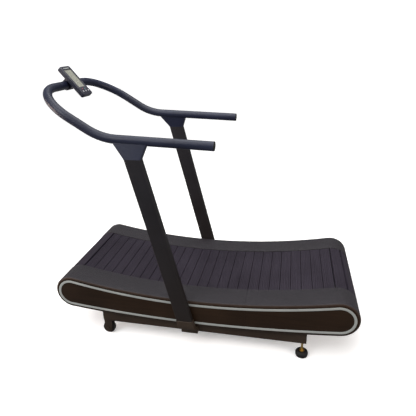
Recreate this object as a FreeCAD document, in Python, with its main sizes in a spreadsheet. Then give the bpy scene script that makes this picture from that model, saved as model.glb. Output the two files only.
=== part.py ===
import FreeCAD, Part
import math
import os

import Sketcher

# Curved manual treadmill, millimetres.
# +X points to the front (console end), +Y to the user's left, +Z up.
# The origin lies on the floor below the middle of the deck.

doc = FreeCAD.newDocument("CurvedTreadmill")
vector = FreeCAD.Vector
up_axis = vector(0, 0, 1)
side_axis = vector(0, 1, 0)
front_axis = vector(1, 0, 0)

driving_sizes = [
    # deck side profile: a sagging running surface between two round ends
    ("deck_length", 1746.0, "nose to tail of the covers"),
    ("deck_depth", 170.0, "running surface to underside in the middle"),
    ("running_radius", 3790.0, "curve of the running surface"),
    ("end_radius", 103.5, "round front and rear ends"),
    ("under_clearance", 11.0, "underside above the base cross tubes"),
    # widths, all measured from the middle plane
    ("slat_end", 230.5, "end of a slat"),
    ("cover_gap", 3.0, "slat end to the inner edge of the side covers"),
    ("cover_outside", 388.0, "outer wall of the side covers"),
    ("cover_wall", 3.0, "moulded wall of the covers"),
    ("cover_round", 9.5, "rounded outer edge of the covers"),
    ("cover_lip", 12.0, "downturned inner lip of the covers"),
    ("lip_thick", 2.0, "wall of that lip"),
    ("cover_seam", -270.0, "joint between front and rear covers"),
    ("seam_gap", 0.6, "gap at the joint"),
    ("cover_wrap", 620.0, "the covers close underneath beyond this distance"),
    ("panel_inset", 10.0, "side panel outline inside the deck outline"),
    ("panel_thick", 3.0, "side panel sheet"),
    ("strip_inset", 19.5, "outer edge of the accent strip inside the deck outline"),
    ("strip_width", 14.0, "accent strip"),
    ("strip_thick", 1.5, "accent strip"),
    # belt
    ("slat_count", 60, "slats round the loop"),
    ("slat_gap", 3.2, "gap between slats on the running surface"),
    ("slat_thick", 12.0, "slat plate"),
    ("slat_drop", 3.0, "slat face below the top of the covers"),
    ("slat_bevel", 2.0, "bevelled slat edge"),
    ("groove_count", 5, "grip grooves along each slat"),
    ("groove_depth", 1.1, "grip groove"),
    ("groove_half", 1.3, "half the width of a grip groove"),
    ("rib_depth", 16.0, "stiffening rib under a slat"),
    ("rib_thick", 5.0, "stiffening rib"),
    ("rib_setback", 16.0, "end of the rib to the drive belt"),
    ("belt_setback", 6.5, "outer edge of a drive belt to the end of the slats"),
    ("belt_width", 40.0, "drive belt"),
    ("belt_thick", 5.0, "drive belt"),
    ("belt_seat", 0.15, "drive belt below the slats, for their curved bed"),
    ("running_gap", 0.3, "clearance of belt to pulleys and bearings"),
    # deck frame
    ("plate_gap", 0.5, "cover lip to the side plates"),
    ("plate_thick", 5.0, "side plate"),
    ("plate_inset", 20.0, "side plate outline inside the deck outline"),
    ("bearing_count", 21, "guide bearings on each side"),
    ("bearing_span", 1280.0, "length of the row of guide bearings"),
    ("bearing_radius", 16.0, "guide bearing"),
    ("bearing_width", 10.0, "guide bearing"),
    ("pin_radius", 5.0, "guide bearing pin"),
    ("shaft_radius", 12.5, "pulley shaft"),
    ("shaft_overhang", 26.0, "shaft end beyond the inner face of the side plate"),
    ("pulley_spare", 4.0, "pulley rim wider than the drive belt"),
    ("pulley_rim", 6.0, "pulley rim"),
    ("pulley_web", 8.0, "pulley web"),
    ("hub_radius", 24.0, "pulley hub"),
    ("shaft_clearance", 0.05, "running clearance round shafts and axles"),
    ("housing_radius", 40.0, "bearing housing flange"),
    ("frame_tube_width", 40.0, "deck cross tube, fore and aft"),
    ("frame_tube_height", 60.0, "deck cross tube"),
    ("frame_tube_reach", 500.0, "outer deck cross tubes from the middle"),
    ("tube_wall", 2.5, "wall of all steel tubes"),
    # base frame
    ("rail_front", 593.0, "front end of the base rails"),
    ("rail_rear", 608.0, "rear end of the base rails"),
    ("rail_setback", 19.0, "base rail inside the side cover"),
    ("rail_width", 40.0, "base rail"),
    ("rail_height", 70.0, "base rail"),
    ("cross_height", 40.0, "base cross tube"),
    ("bracket_reach", 500.0, "outer deck brackets from the middle"),
    ("bracket_length", 60.0, "deck bracket"),
    ("bracket_thick", 6.0, "deck bracket plate"),
    ("bracket_rise", 58.0, "upright leg of a deck bracket"),
    # transport wheels
    ("wheel_radius", 37.5, "transport wheel"),
    ("wheel_width", 29.0, "transport wheel"),
    ("wheel_clearance", 15.0, "transport wheel to the fork's crown"),
    ("wheel_centre", 572.0, "axle of the transport wheels"),
    ("axle_radius", 5.0, "transport wheel axle"),
    ("fork_back", 545.0, "rear edge of the wheel fork"),
    ("fork_wall", 5.0, "wheel fork plates"),
    ("fork_clearance", 2.0, "transport wheel to each fork plate"),
    ("fork_tip", 24.0, "rounded tip of the wheel fork"),
    # levelling feet
    ("foot_centre", -590.0, "levelling foot"),
    ("foot_radius", 35.0, "rubber foot"),
    ("foot_height", 34.0, "rubber foot"),
    ("stud_radius", 6.0, "threaded stud"),
    ("stud_reach", 57.0, "threaded stud above the underside of the rails"),
    ("nut_flats", 11.5, "corner radius of the nuts"),
    ("nut_height", 10.0, "lock nut"),
    # uprights
    ("upright_clearance", 1.5, "accent strip to the upright"),
    ("upright_thick", 36.0, "upright, side to side"),
    ("upright_depth", 91.0, "upright, fore and aft, level section"),
    ("upright_foot", 46.0, "middle of the upright's lower end"),
    ("upright_start", 23.0, "upright's lower end above the underside of the rails"),
    ("upright_head", 286.0, "middle of the upright's upper end"),
    ("upright_top", 1138.0, "height of the upright's upper end"),
    ("upright_round", 6.0, "rounded corners of the upright tube"),
    ("mitre_rise", 0.85, "rise of the upright's slanted lower end for each millimetre outwards"),
    ("socket_height", 84.0, "socket round the upright's lower end"),
    ("socket_wall", 3.0, "wall and floor of the socket"),
    ("arm_start", 5.0, "socket arm above the underside of the rails"),
    ("arm_gap", 2.0, "socket arm below the underside of the deck"),
    ("bolt_radius", 5.0, "upright bolts"),
    ("bolt_spread", 15.0, "upright bolts from the upright's middle"),
    ("bolt_rise", 40.0, "upright bolts above the underside of the rails"),
    # handlebar
    ("bar_radius", 23.5, "handlebar tube"),
    ("bar_side", 388.0, "middle of a side rail of the handlebar"),
    ("bar_rear", -118.0, "rear end of the side rails"),
    ("bar_rear_height", 1204.5, "height of the rear end"),
    ("bar_knee", 457.0, "where the side rail turns upwards"),
    ("bar_knee_height", 1235.0, "height of that turn"),
    ("knee_radius", 316.0, "bend of that turn"),
    ("bar_front", 811.0, "front crossbar"),
    ("bar_front_height", 1459.0, "height of the crossbar"),
    ("corner_radius", 230.0, "bend from side rail to crossbar"),
    ("gusset_rear", 207.0, "rear end of the gusset under the rail"),
    ("gusset_front", 405.0, "front end of the gusset under the rail"),
    ("cap_thick", 5.0, "handlebar end cap"),
    # console, in its own frame: along its length, across, and out of its face
    ("console_angle", 50.0, "tilt of the console's face, in degrees"),
    ("console_upper", 85.5, "upper end from the crossbar"),
    ("console_lower", -119.0, "lower end from the crossbar"),
    ("console_half", 53.5, "half the width"),
    ("console_back", 31.0, "back face from the crossbar's middle"),
    ("console_depth", 23.5, "depth of the back shell"),
    ("console_wall", 2.5, "wall of the shell"),
    ("console_round", 11.0, "rounded corners of the console"),
    ("bezel_thick", 3.0, "front frame"),
    ("bezel_upper", 25.5, "front frame above the window"),
    ("bezel_lower", 56.0, "front frame below the window, with the buttons"),
    ("bezel_side", 17.5, "front frame beside the window"),
    ("lens_gap", 0.3, "gap round the lens"),
    ("lens_thick", 2.0, "lens"),
    ("display_thick", 3.0, "display module"),
    ("button_row", 25.0, "row of buttons from the lower end"),
    ("button_spread", 30.0, "distance between buttons"),
    ("button_radius", 7.0, "button cap"),
    ("button_gap", 0.3, "clearance round a button"),
    ("button_proud", 1.6, "button above the front frame"),
    ("clamp_half", 28.0, "half the length of the clamp"),
    ("clamp_wall", 6.0, "clamp band"),
]


class Size:
    """A length with its number and the expression that binds it to the sheet."""

    def __init__(self, value, text=None):
        self.value = float(value)
        self.text = text or repr(self.value)

    def combine(self, other, sign, value):
        return Size(value, "(%s %s %s)" % (self.text, sign, other.text))

    def __add__(self, other):
        other = as_size(other)
        return self.combine(other, "+", self.value + other.value)

    def __sub__(self, other):
        other = as_size(other)
        return self.combine(other, "-", self.value - other.value)

    def __mul__(self, other):
        other = as_size(other)
        return self.combine(other, "*", self.value * other.value)

    def __truediv__(self, other):
        other = as_size(other)
        return self.combine(other, "/", self.value / other.value)

    def __rsub__(self, other):
        return as_size(other) - self

    def __neg__(self):
        return as_size(0) - self

    def root(self):
        return Size(math.sqrt(self.value), "sqrt(%s)" % self.text)


def as_size(value):
    return value if isinstance(value, Size) else Size(value)


class Dimensions:
    """The sheet's cells as Size values, one attribute for each alias."""

    def __init__(self, rows):
        sheet = doc.addObject("Spreadsheet::Sheet", "Dimensions")
        for row, (alias, number, note) in enumerate(rows, start=1):
            sheet.set("A%d" % row, alias.replace("_", " "))
            sheet.set("B%d" % row, str(number))
            sheet.set("C%d" % row, note)
            sheet.setAlias("B%d" % row, alias)
            setattr(self, alias, Size(number, "Dimensions." + alias))
        doc.recompute()


dim = Dimensions(driving_sizes)
nodes = []

# levels, from the floor up
rail_bottom = dim.wheel_radius * 2 + dim.wheel_clearance + dim.fork_wall
rail_top = rail_bottom + dim.rail_height
under_low = rail_bottom + dim.cross_height + dim.under_clearance
deck_low = under_low + dim.deck_depth
upright_bottom = rail_bottom + dim.upright_start

# widths, from the middle plane out
belt_inside = dim.slat_end - dim.belt_setback - dim.belt_width
belt_middle = belt_inside + dim.belt_width / 2
cover_inside = dim.slat_end + dim.cover_gap
plate_inside = cover_inside + dim.lip_thick + dim.plate_gap
plate_outside = plate_inside + dim.plate_thick
rail_outside = dim.cover_outside - dim.rail_setback
rail_inside = rail_outside - dim.rail_width
rail_middle = rail_outside - dim.rail_width / 2
panel_face = dim.cover_outside + dim.panel_thick
upright_inside = panel_face + dim.strip_thick + dim.upright_clearance
fork_gap = dim.wheel_width + dim.fork_clearance * 2
fork_inside = rail_outside - dim.fork_wall * 2 - fork_gap

# the belt inwards from the deck outline: outer face of the drive belt, then pulleys and bearings
belt_face = dim.slat_drop + dim.slat_thick + dim.belt_seat
roller_inset = belt_face + dim.belt_thick + dim.running_gap


def publish(feature, label):
    """Name a finished sub-part and keep it for export."""
    feature.Label = label
    nodes.append(feature)
    return feature


def publish_pair(feature, name):
    """The left piece and its mirror image on the right."""
    publish(feature, "left_" + name)
    twin = doc.addObject("Part::Mirroring", "Mirrored_" + name)
    twin.Source = feature
    twin.Normal = side_axis
    publish(twin, "right_" + name)


def bind(feature, **sizes):
    for name, size in sizes.items():
        feature.setExpression(name.replace("__", "."), as_size(size).text)


def place(feature, x=0, y=0, z=0):
    """Put a feature where the sheet says, keeping its rotation."""
    for axis, size in (("x", x), ("y", y), ("z", z)):
        feature.setExpression("Placement.Base." + axis, as_size(size).text)
    return feature


# --- sketches -----------------------------------------------------------------

def lock_point(sketch, geometry, end, x, y):
    for kind, size in (("DistanceX", x), ("DistanceY", y)):
        size = as_size(size)
        index = sketch.addConstraint(Sketcher.Constraint(kind, -1, 1, geometry, end, size.value))
        sketch.setExpression("Constraints[%d]" % index, size.text)


def lock_centre(sketch, arc, corner, following):
    """Fix an arc between two fixed ends by its centre's coordinate across the chord."""
    run = abs(as_size(following[0]).value - as_size(corner[0]).value)
    rise = abs(as_size(following[1]).value - as_size(corner[1]).value)
    kind, size = ("DistanceY", corner[3]) if run > rise else ("DistanceX", corner[2])
    size = as_size(size)
    index = sketch.addConstraint(Sketcher.Constraint(kind, -1, 1, arc, 3, size.value))
    sketch.setExpression("Constraints[%d]" % index, size.text)


def set_radius(sketch, geometry, radius):
    radius = as_size(radius)
    index = sketch.addConstraint(Sketcher.Constraint("Radius", geometry, radius.value))
    sketch.setExpression("Constraints[%d]" % index, radius.text)


def draw_circle(sketch, x, y, radius):
    x, y, radius = as_size(x), as_size(y), as_size(radius)
    centre = vector(x.value, y.value, 0)
    circle = sketch.addGeometry(Part.Circle(centre, up_axis, radius.value))
    lock_point(sketch, circle, 3, x, y)
    set_radius(sketch, circle, radius)


def draw_outline(sketch, corners):
    """A closed outline. Each corner is (x, y) for a straight run to the next corner, or
    (x, y, centre x, centre y, turn) for an arc, turn +1 being anticlockwise."""
    ends = []
    for place_index, corner in enumerate(corners):
        following = corners[(place_index + 1) % len(corners)]
        start = vector(as_size(corner[0]).value, as_size(corner[1]).value, 0)
        finish = vector(as_size(following[0]).value, as_size(following[1]).value, 0)
        if len(corner) == 2:
            piece = sketch.addGeometry(Part.LineSegment(start, finish))
            ends.append((piece, 1, 2))
            continue
        centre = vector(as_size(corner[2]).value, as_size(corner[3]).value, 0)
        turn = corner[4]
        first, last = (start, finish) if turn > 0 else (finish, start)
        first_angle = math.atan2(first.y - centre.y, first.x - centre.x)
        last_angle = math.atan2(last.y - centre.y, last.x - centre.x)
        if last_angle <= first_angle:
            last_angle += 2 * math.pi
        circle = Part.Circle(centre, up_axis, (start - centre).Length)
        piece = sketch.addGeometry(Part.ArcOfCircle(circle, first_angle, last_angle))
        ends.append((piece, 1, 2) if turn > 0 else (piece, 2, 1))
    for place_index, (piece, start_end, finish_end) in enumerate(ends):
        next_piece, next_start, _ = ends[(place_index + 1) % len(ends)]
        sketch.addConstraint(
            Sketcher.Constraint("Coincident", piece, finish_end, next_piece, next_start))
        corner = corners[place_index]
        lock_point(sketch, piece, start_end, corner[0], corner[1])
        if len(corner) > 2:
            following = corners[(place_index + 1) % len(corners)]
            lock_centre(sketch, piece, corner, following)


def rounded_rectangle(low_x, high_x, low_y, high_y, radius):
    """Corners of a rectangle with round corners, anticlockwise."""
    low_x, high_x, low_y, high_y = map(as_size, (low_x, high_x, low_y, high_y))
    radius = as_size(radius)
    left, right, bottom, top = low_x + radius, high_x - radius, low_y + radius, high_y - radius
    return [
        (left, low_y), (right, low_y, right, bottom, 1),
        (high_x, bottom), (high_x, top, right, top, 1),
        (right, high_y), (left, high_y, left, top, 1),
        (low_x, top), (low_x, bottom, left, bottom, 1),
    ]


def shrink(rectangle_sizes, wall):
    low_x, high_x, low_y, high_y, radius = rectangle_sizes
    return low_x + wall, high_x - wall, low_y + wall, high_y - wall, radius - wall


# --- Part Design helpers ------------------------------------------------------

def new_body(name):
    return doc.addObject("PartDesign::Body", name)


def body_sketch(body, role="XZ_Plane", offset=None):
    sketch = body.newObject("Sketcher::SketchObject", body.Name + "_sketch")
    plane = [item for item in body.Origin.OriginFeatures if item.Role == role][0]
    sketch.AttachmentSupport = [(plane, "")]
    sketch.MapMode = "FlatFace"
    if offset is not None:
        sketch.setExpression("AttachmentOffset.Base.z", as_size(offset).text)
    return sketch


def pad(body, sketch, length, reverse=False, middle=False):
    feature = body.newObject("PartDesign::Pad", body.Name + "_pad")
    feature.Profile = sketch
    feature.Reversed = reverse
    feature.Midplane = middle
    bind(feature, Length=length)
    return feature


def pocket(body, sketch, length, reverse=False):
    """Cut a sketch out of the body, and make sure that something was cut."""
    doc.recompute()
    before = body.Shape.Volume
    feature = body.newObject("PartDesign::Pocket", body.Name + "_pocket")
    feature.Profile = sketch
    feature.Reversed = reverse
    bind(feature, Length=length)
    doc.recompute()
    if body.Shape.Volume >= before:
        raise RuntimeError(body.Name + ": the pocket removed nothing")
    return feature


def revolve(body, sketch):
    feature = body.newObject("PartDesign::Revolution", body.Name + "_revolution")
    feature.Profile = sketch
    feature.ReferenceAxis = (sketch, ["V_Axis"])
    feature.Angle = 360
    return feature


# --- Part helpers -------------------------------------------------------------

def make_box(name, x_range, y_range, z_range):
    box = doc.addObject("Part::Box", name)
    lows, spans = [], []
    for low, high in (x_range, y_range, z_range):
        lows.append(as_size(low))
        spans.append(as_size(high) - low)
    bind(box, Length=spans[0], Width=spans[1], Height=spans[2])
    return place(box, *lows)


def cross_cylinder(name, x, z, y_low, y_high, radius):
    """A cylinder across the machine."""
    cylinder = doc.addObject("Part::Cylinder", name)
    bind(cylinder, Radius=radius, Height=as_size(y_high) - y_low)
    cylinder.Placement.Rotation = FreeCAD.Rotation(front_axis, -90)
    return place(cylinder, x, y_low, z)


def fuse(name, shapes):
    feature = doc.addObject("Part::MultiFuse", name)
    feature.Shapes = shapes
    return feature


def cut(name, base, tool):
    feature = doc.addObject("Part::Cut", name)
    feature.Base = base
    feature.Tool = tool
    return feature


def common(name, first, second):
    feature = doc.addObject("Part::Common", name)
    feature.Base = first
    feature.Tool = second
    return feature


def group(name, pieces):
    feature = doc.addObject("Part::Compound", name)
    feature.Links = pieces
    return feature


def hollow_box(name, x_range, y_range, z_range, open_along):
    """A rectangular steel tube that is open along one axis."""
    inner = []
    for axis, (low, high) in zip("xyz", (x_range, y_range, z_range)):
        low, high = as_size(low), as_size(high)
        wall = 0 if axis == open_along else dim.tube_wall
        inner.append((low + wall, high - wall))
    outside = make_box(name + "_outside", x_range, y_range, z_range)
    return cut(name, outside, make_box(name + "_inside", *inner))


# --- the deck's side profile ----------------------------------------------------

end_x = dim.deck_length / 2 - dim.end_radius
top_centre_z = deck_low + dim.running_radius
top_reach = dim.running_radius + dim.end_radius
end_z = top_centre_z - (top_reach * top_reach - end_x * end_x).root()
end_rise = end_z - under_low
under_radius = ((end_x * end_x + end_rise * end_rise - dim.end_radius * dim.end_radius)
                / (end_rise - dim.end_radius) / 2)
under_centre_z = under_low + under_radius
under_reach = under_radius - dim.end_radius


def profile_corners(inset):
    """The deck outline moved inwards: four tangent arcs, anticlockwise from the lower rear."""
    inset = as_size(inset)
    end = dim.end_radius - inset
    top_x = end_x - end * end_x / top_reach
    top_z = end_z + end * (top_centre_z - end_z) / top_reach
    low_x = end_x + end * end_x / under_reach
    low_z = end_z - end * (under_centre_z - end_z) / under_reach
    return [
        (-low_x, low_z, 0, under_centre_z, 1),
        (low_x, low_z, end_x, end_z, 1),
        (top_x, top_z, 0, top_centre_z, -1),
        (-top_x, top_z, -end_x, end_z, 1),
    ]


def deck_slice(name, insets, y_low, y_high):
    """The deck outline, or the ring between two outlines, extruded across the machine."""
    sketch = doc.addObject("Sketcher::SketchObject", name + "_outline")
    sketch.Placement.Rotation = FreeCAD.Rotation(front_axis, 90)
    place(sketch, 0, y_low, 0)
    for inset in insets:
        draw_outline(sketch, profile_corners(inset))
    feature = doc.addObject("Part::Extrusion", name)
    feature.Base = sketch
    feature.DirMode = "Custom"
    feature.Dir = side_axis
    feature.Solid = True
    bind(feature, LengthFwd=as_size(y_high) - y_low)
    return feature


def round_outer_edges(name, feature, y_plane, radius):
    """Fillet the edges of a deck slice that lie in one upright plane."""
    doc.recompute()
    fillet = doc.addObject("Part::Fillet", name)
    fillet.Base = feature
    chosen = []
    for index, edge in enumerate(feature.Shape.Edges, start=1):
        box = edge.BoundBox
        if abs(box.YMin - y_plane.value) < 0.01 and box.YLength < 0.01:
            chosen.append((index, radius.value, radius.value))
    fillet.Edges = chosen
    return fillet


def middle_height(x):
    """Height halfway between the running surface and the underside."""
    x = as_size(x)
    top = top_centre_z - (dim.running_radius * dim.running_radius - x * x).root()
    under = under_centre_z - (under_radius * under_radius - x * x).root()
    return (top + under) / 2


# --- base frame -----------------------------------------------------------------

bolt_z = rail_bottom + dim.bolt_rise
bolt_places = (dim.upright_foot - dim.bolt_spread, dim.upright_foot + dim.bolt_spread)


def drill_for_bolts(body, y_low, depth):
    """Holes across the machine for the two upright bolts."""
    holes = body_sketch(body, "XZ_Plane", -y_low)
    for x in bolt_places:
        draw_circle(holes, x, bolt_z, dim.bolt_radius)
    pocket(body, holes, depth)


def make_base():
    rail = new_body("BaseRail")
    section = (rail_inside, rail_outside, rail_bottom, rail_top, as_size(4))
    sketch = body_sketch(rail, "YZ_Plane", -dim.rail_rear)
    draw_outline(sketch, rounded_rectangle(*section))
    draw_outline(sketch, rounded_rectangle(*shrink(section, dim.tube_wall)))
    pad(rail, sketch, dim.rail_rear + dim.rail_front)
    stud_hole = body_sketch(rail, "XY_Plane", rail_bottom - 1)
    draw_circle(stud_hole, dim.foot_centre, rail_middle,
                dim.stud_radius + dim.shaft_clearance)
    pocket(rail, stud_hole, dim.tube_wall + 2, reverse=True)
    drill_for_bolts(rail, rail_inside - 1, dim.rail_width + 2)
    publish_pair(rail, "base_rail")

    tubes = []
    for index, middle in enumerate((dim.fork_back - 20, as_size(0), dim.foot_centre + 50)):
        tubes.append(hollow_box(
            "BaseCross%d" % index,
            (middle - dim.cross_height / 2, middle + dim.cross_height / 2),
            (-rail_inside, rail_inside),
            (rail_bottom, rail_bottom + dim.cross_height), "y"))
    publish(group("BaseCrossTubes", tubes), "base_cross_tubes")

    caps = []
    for end, (x_low, x_high) in enumerate(((dim.rail_front, dim.rail_front + 3),
                                           (-dim.rail_rear - 3, -dim.rail_rear))):
        for side, y_low in enumerate((rail_inside, -rail_outside)):
            caps.append(make_box("RailCap%d%d" % (end, side), (x_low, x_high),
                                 (y_low + 1, y_low + dim.rail_width - 1),
                                 (rail_bottom + 1, rail_top - 1)))
    publish(group("RailCaps", caps), "rail_end_caps")


def make_wheels():
    fork = new_body("WheelFork")
    sketch = body_sketch(fork, "XZ_Plane", -rail_outside)
    tip_front = dim.wheel_centre + dim.fork_tip
    tip_rear = dim.wheel_centre - dim.fork_tip
    draw_outline(sketch, [
        (tip_front, dim.wheel_radius), (dim.rail_front, rail_bottom),
        (dim.fork_back, rail_bottom),
        (tip_rear, dim.wheel_radius, dim.wheel_centre, dim.wheel_radius, 1),
    ])
    draw_circle(sketch, dim.wheel_centre, dim.wheel_radius, dim.axle_radius)
    pad(fork, sketch, rail_outside - fork_inside)
    slot = body_sketch(fork, "YZ_Plane", dim.fork_back - 20)
    slot_low = fork_inside + dim.fork_wall
    slot_high = rail_outside - dim.fork_wall
    slot_top = rail_bottom - dim.fork_wall
    draw_outline(slot, [(slot_low, as_size(0)), (slot_high, as_size(0)),
                        (slot_high, slot_top), (slot_low, slot_top)])
    pocket(fork, slot, dim.rail_front - dim.fork_back + 40, reverse=True)
    publish_pair(fork, "wheel_fork")

    wheel = new_body("TransportWheel")
    sketch = body_sketch(wheel)
    half = dim.wheel_width / 2
    bore = dim.axle_radius + dim.shaft_clearance
    rim_inside = dim.wheel_radius - 7
    hub = dim.axle_radius + 6
    draw_outline(sketch, [
        (bore, -half), (hub, -half), (hub, 4 - half), (rim_inside, 4 - half),
        (rim_inside, -half), (dim.wheel_radius - 2, -half), (dim.wheel_radius, 3 - half),
        (dim.wheel_radius, half - 3), (dim.wheel_radius - 2, half), (rim_inside, half),
        (rim_inside, half - 4), (hub, half - 4), (hub, half), (bore, half),
    ])
    revolve(wheel, sketch)
    wheel.Placement.Rotation = FreeCAD.Rotation(front_axis, -90)
    place(wheel, dim.wheel_centre, slot_low + fork_gap / 2, dim.wheel_radius)
    publish_pair(wheel, "transport_wheel")

    shank = cross_cylinder("AxleShank", dim.wheel_centre, dim.wheel_radius,
                           fork_inside - 4, rail_outside + 4, dim.axle_radius)
    head = cross_cylinder("AxleHead", dim.wheel_centre, dim.wheel_radius,
                          rail_outside, rail_outside + 4, dim.axle_radius + 3.5)
    nut = cross_cylinder("AxleNut", dim.wheel_centre, dim.wheel_radius,
                         fork_inside - 6, fork_inside, dim.axle_radius + 3.5)
    publish_pair(fuse("WheelAxle", [shank, head, nut]), "wheel_axle")


def make_feet():
    pad_body = new_body("FootPad")
    sketch = body_sketch(pad_body)
    rim = dim.foot_radius
    draw_outline(sketch, [
        (0, 0), (rim - 7, 0), (rim - 2, 4), (rim, 12), (rim, dim.foot_height - 12),
        (rim - 3, dim.foot_height - 4), (rim - 9, dim.foot_height), (0, dim.foot_height),
    ])
    revolve(pad_body, sketch)
    place(pad_body, dim.foot_centre, rail_middle, 0)
    publish_pair(pad_body, "foot_pad")

    stud = new_body("FootStud")
    sketch = body_sketch(stud)
    stud_top = rail_bottom + dim.stud_reach
    flange, flange_top = dim.stud_radius + 9, dim.foot_height + 5
    collar, collar_top = dim.stud_radius + 4, dim.foot_height + 13
    draw_outline(sketch, [
        (0, dim.foot_height), (flange, dim.foot_height), (flange, flange_top),
        (collar, flange_top), (collar, collar_top), (dim.stud_radius, collar_top),
        (dim.stud_radius, stud_top - 1.5), (dim.stud_radius - 1.5, stud_top),
        (0, stud_top),
    ])
    revolve(stud, sketch)
    place(stud, dim.foot_centre, rail_middle, 0)
    publish_pair(stud, "foot_stud")

    nuts = []
    for side, y in enumerate((rail_middle, -rail_middle)):
        prism = doc.addObject("Part::Prism", "NutBlank%d" % side)
        prism.Polygon = 6
        bind(prism, Circumradius=dim.nut_flats, Height=dim.nut_height)
        place(prism, dim.foot_centre, y, rail_bottom - dim.nut_height)
        thread = doc.addObject("Part::Cylinder", "NutBore%d" % side)
        bind(thread, Radius=dim.stud_radius + dim.shaft_clearance, Height=dim.nut_height)
        place(thread, dim.foot_centre, y, rail_bottom - dim.nut_height)
        nuts.append(cut("LockNut%d" % side, prism, thread))
    publish(group("FootLockNuts", nuts), "foot_lock_nuts")


# --- deck frame -----------------------------------------------------------------

def bearing_places():
    """Middle of each guide bearing, evenly spaced below the running part of the drive belt."""
    reach = (dim.running_radius + roller_inset + dim.bearing_radius).value
    count = int(dim.bearing_count.value)
    step = dim.bearing_span.value / (count - 1) / reach
    places = []
    for index in range(count):
        angle = (index - (count - 1) / 2) * step
        places.append((reach * math.sin(angle), top_centre_z.value - reach * math.cos(angle)))
    return places


def make_guides():
    """Guide bearings on their pins, both sides in one group of separate solids each."""
    low = belt_middle.value - dim.bearing_width.value / 2
    high = low + dim.bearing_width.value
    plate_low, plate_high = plate_inside.value, plate_outside.value
    radius, pin = dim.bearing_radius.value, dim.pin_radius.value
    head_radius, head_thick, nut_thick = pin + 3, 3, 6
    rings, pins = [], []
    for x, z in bearing_places():
        for side in (1, -1):
            outward = vector(0, side, 0)
            ring = Part.makeCylinder(radius, high - low, vector(x, side * low, z), outward)
            bore = Part.makeCylinder(pin, high - low, vector(x, side * low, z), outward)
            rings.append(ring.cut(bore))
            shank_start = vector(x, side * low, z)
            shank = Part.makeCylinder(pin, plate_high + nut_thick - low, shank_start, outward)
            head = Part.makeCylinder(head_radius, head_thick,
                                     vector(x, side * (low - head_thick), z), outward)
            spacer = Part.makeCylinder(head_radius, plate_low - high,
                                       vector(x, side * high, z), outward)
            nut = Part.makeCylinder(head_radius, nut_thick,
                                    vector(x, side * plate_high, z), outward)
            pins.append(shank.fuse([head, spacer, nut]).removeSplitter())
    bearing_group = doc.addObject("Part::Feature", "GuideBearings")
    bearing_group.Shape = Part.makeCompound(rings)
    publish(bearing_group, "guide_bearings")
    pin_group = doc.addObject("Part::Feature", "BearingPins")
    pin_group.Shape = Part.makeCompound(pins)
    publish(pin_group, "bearing_pins")


def make_side_plates():
    blank = deck_slice("SidePlateBlank", [dim.plate_inset], plate_inside, plate_outside)
    holes = []
    for index, (x, z) in enumerate(bearing_places()):
        holes.append(cross_cylinder("PinHole%d" % index, x, z, plate_inside - 1,
                                    plate_outside + 1, dim.pin_radius))
    for index, x in enumerate((end_x, -end_x)):
        holes.append(cross_cylinder("ShaftHole%d" % index, x, end_z, plate_inside - 1,
                                    plate_outside + 1, dim.shaft_radius + 1))
    publish_pair(cut("SidePlate", blank, fuse("PlateHoles", holes)), "side_plate")


def make_deck_frame():
    tubes = []
    reach = dim.frame_tube_reach
    for index, x in enumerate((-reach, -reach / 3, reach / 3, reach)):
        middle = middle_height(x)
        tubes.append(hollow_box(
            "DeckTube%d" % index,
            (x - dim.frame_tube_width / 2, x + dim.frame_tube_width / 2),
            (-plate_inside, plate_inside),
            (middle - dim.frame_tube_height / 2, middle + dim.frame_tube_height / 2), "y"))
    publish(group("DeckTubes", tubes), "deck_cross_tubes")

    reach_out = rail_outside - 4
    foot_top = rail_top + dim.bracket_thick
    brackets = []
    for index, x in enumerate((-dim.bracket_reach, as_size(0), dim.bracket_reach)):
        ends = (x - dim.bracket_length / 2, x + dim.bracket_length / 2)
        for side, sign in (("L", 1), ("R", -1)):
            flat = (plate_outside, reach_out) if sign > 0 else (-reach_out, -plate_outside)
            leg_edge = plate_outside + dim.bracket_thick
            leg = (plate_outside, leg_edge) if sign > 0 else (-leg_edge, -plate_outside)
            name = "Bracket%s%d" % (side, index)
            foot = make_box(name + "_foot", ends, flat, (rail_top, foot_top))
            upright = make_box(name + "_leg", ends, leg, (foot_top, foot_top + dim.bracket_rise))
            brackets.append(fuse(name, [foot, upright]))
    publish(group("DeckBrackets", brackets), "deck_brackets")


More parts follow.
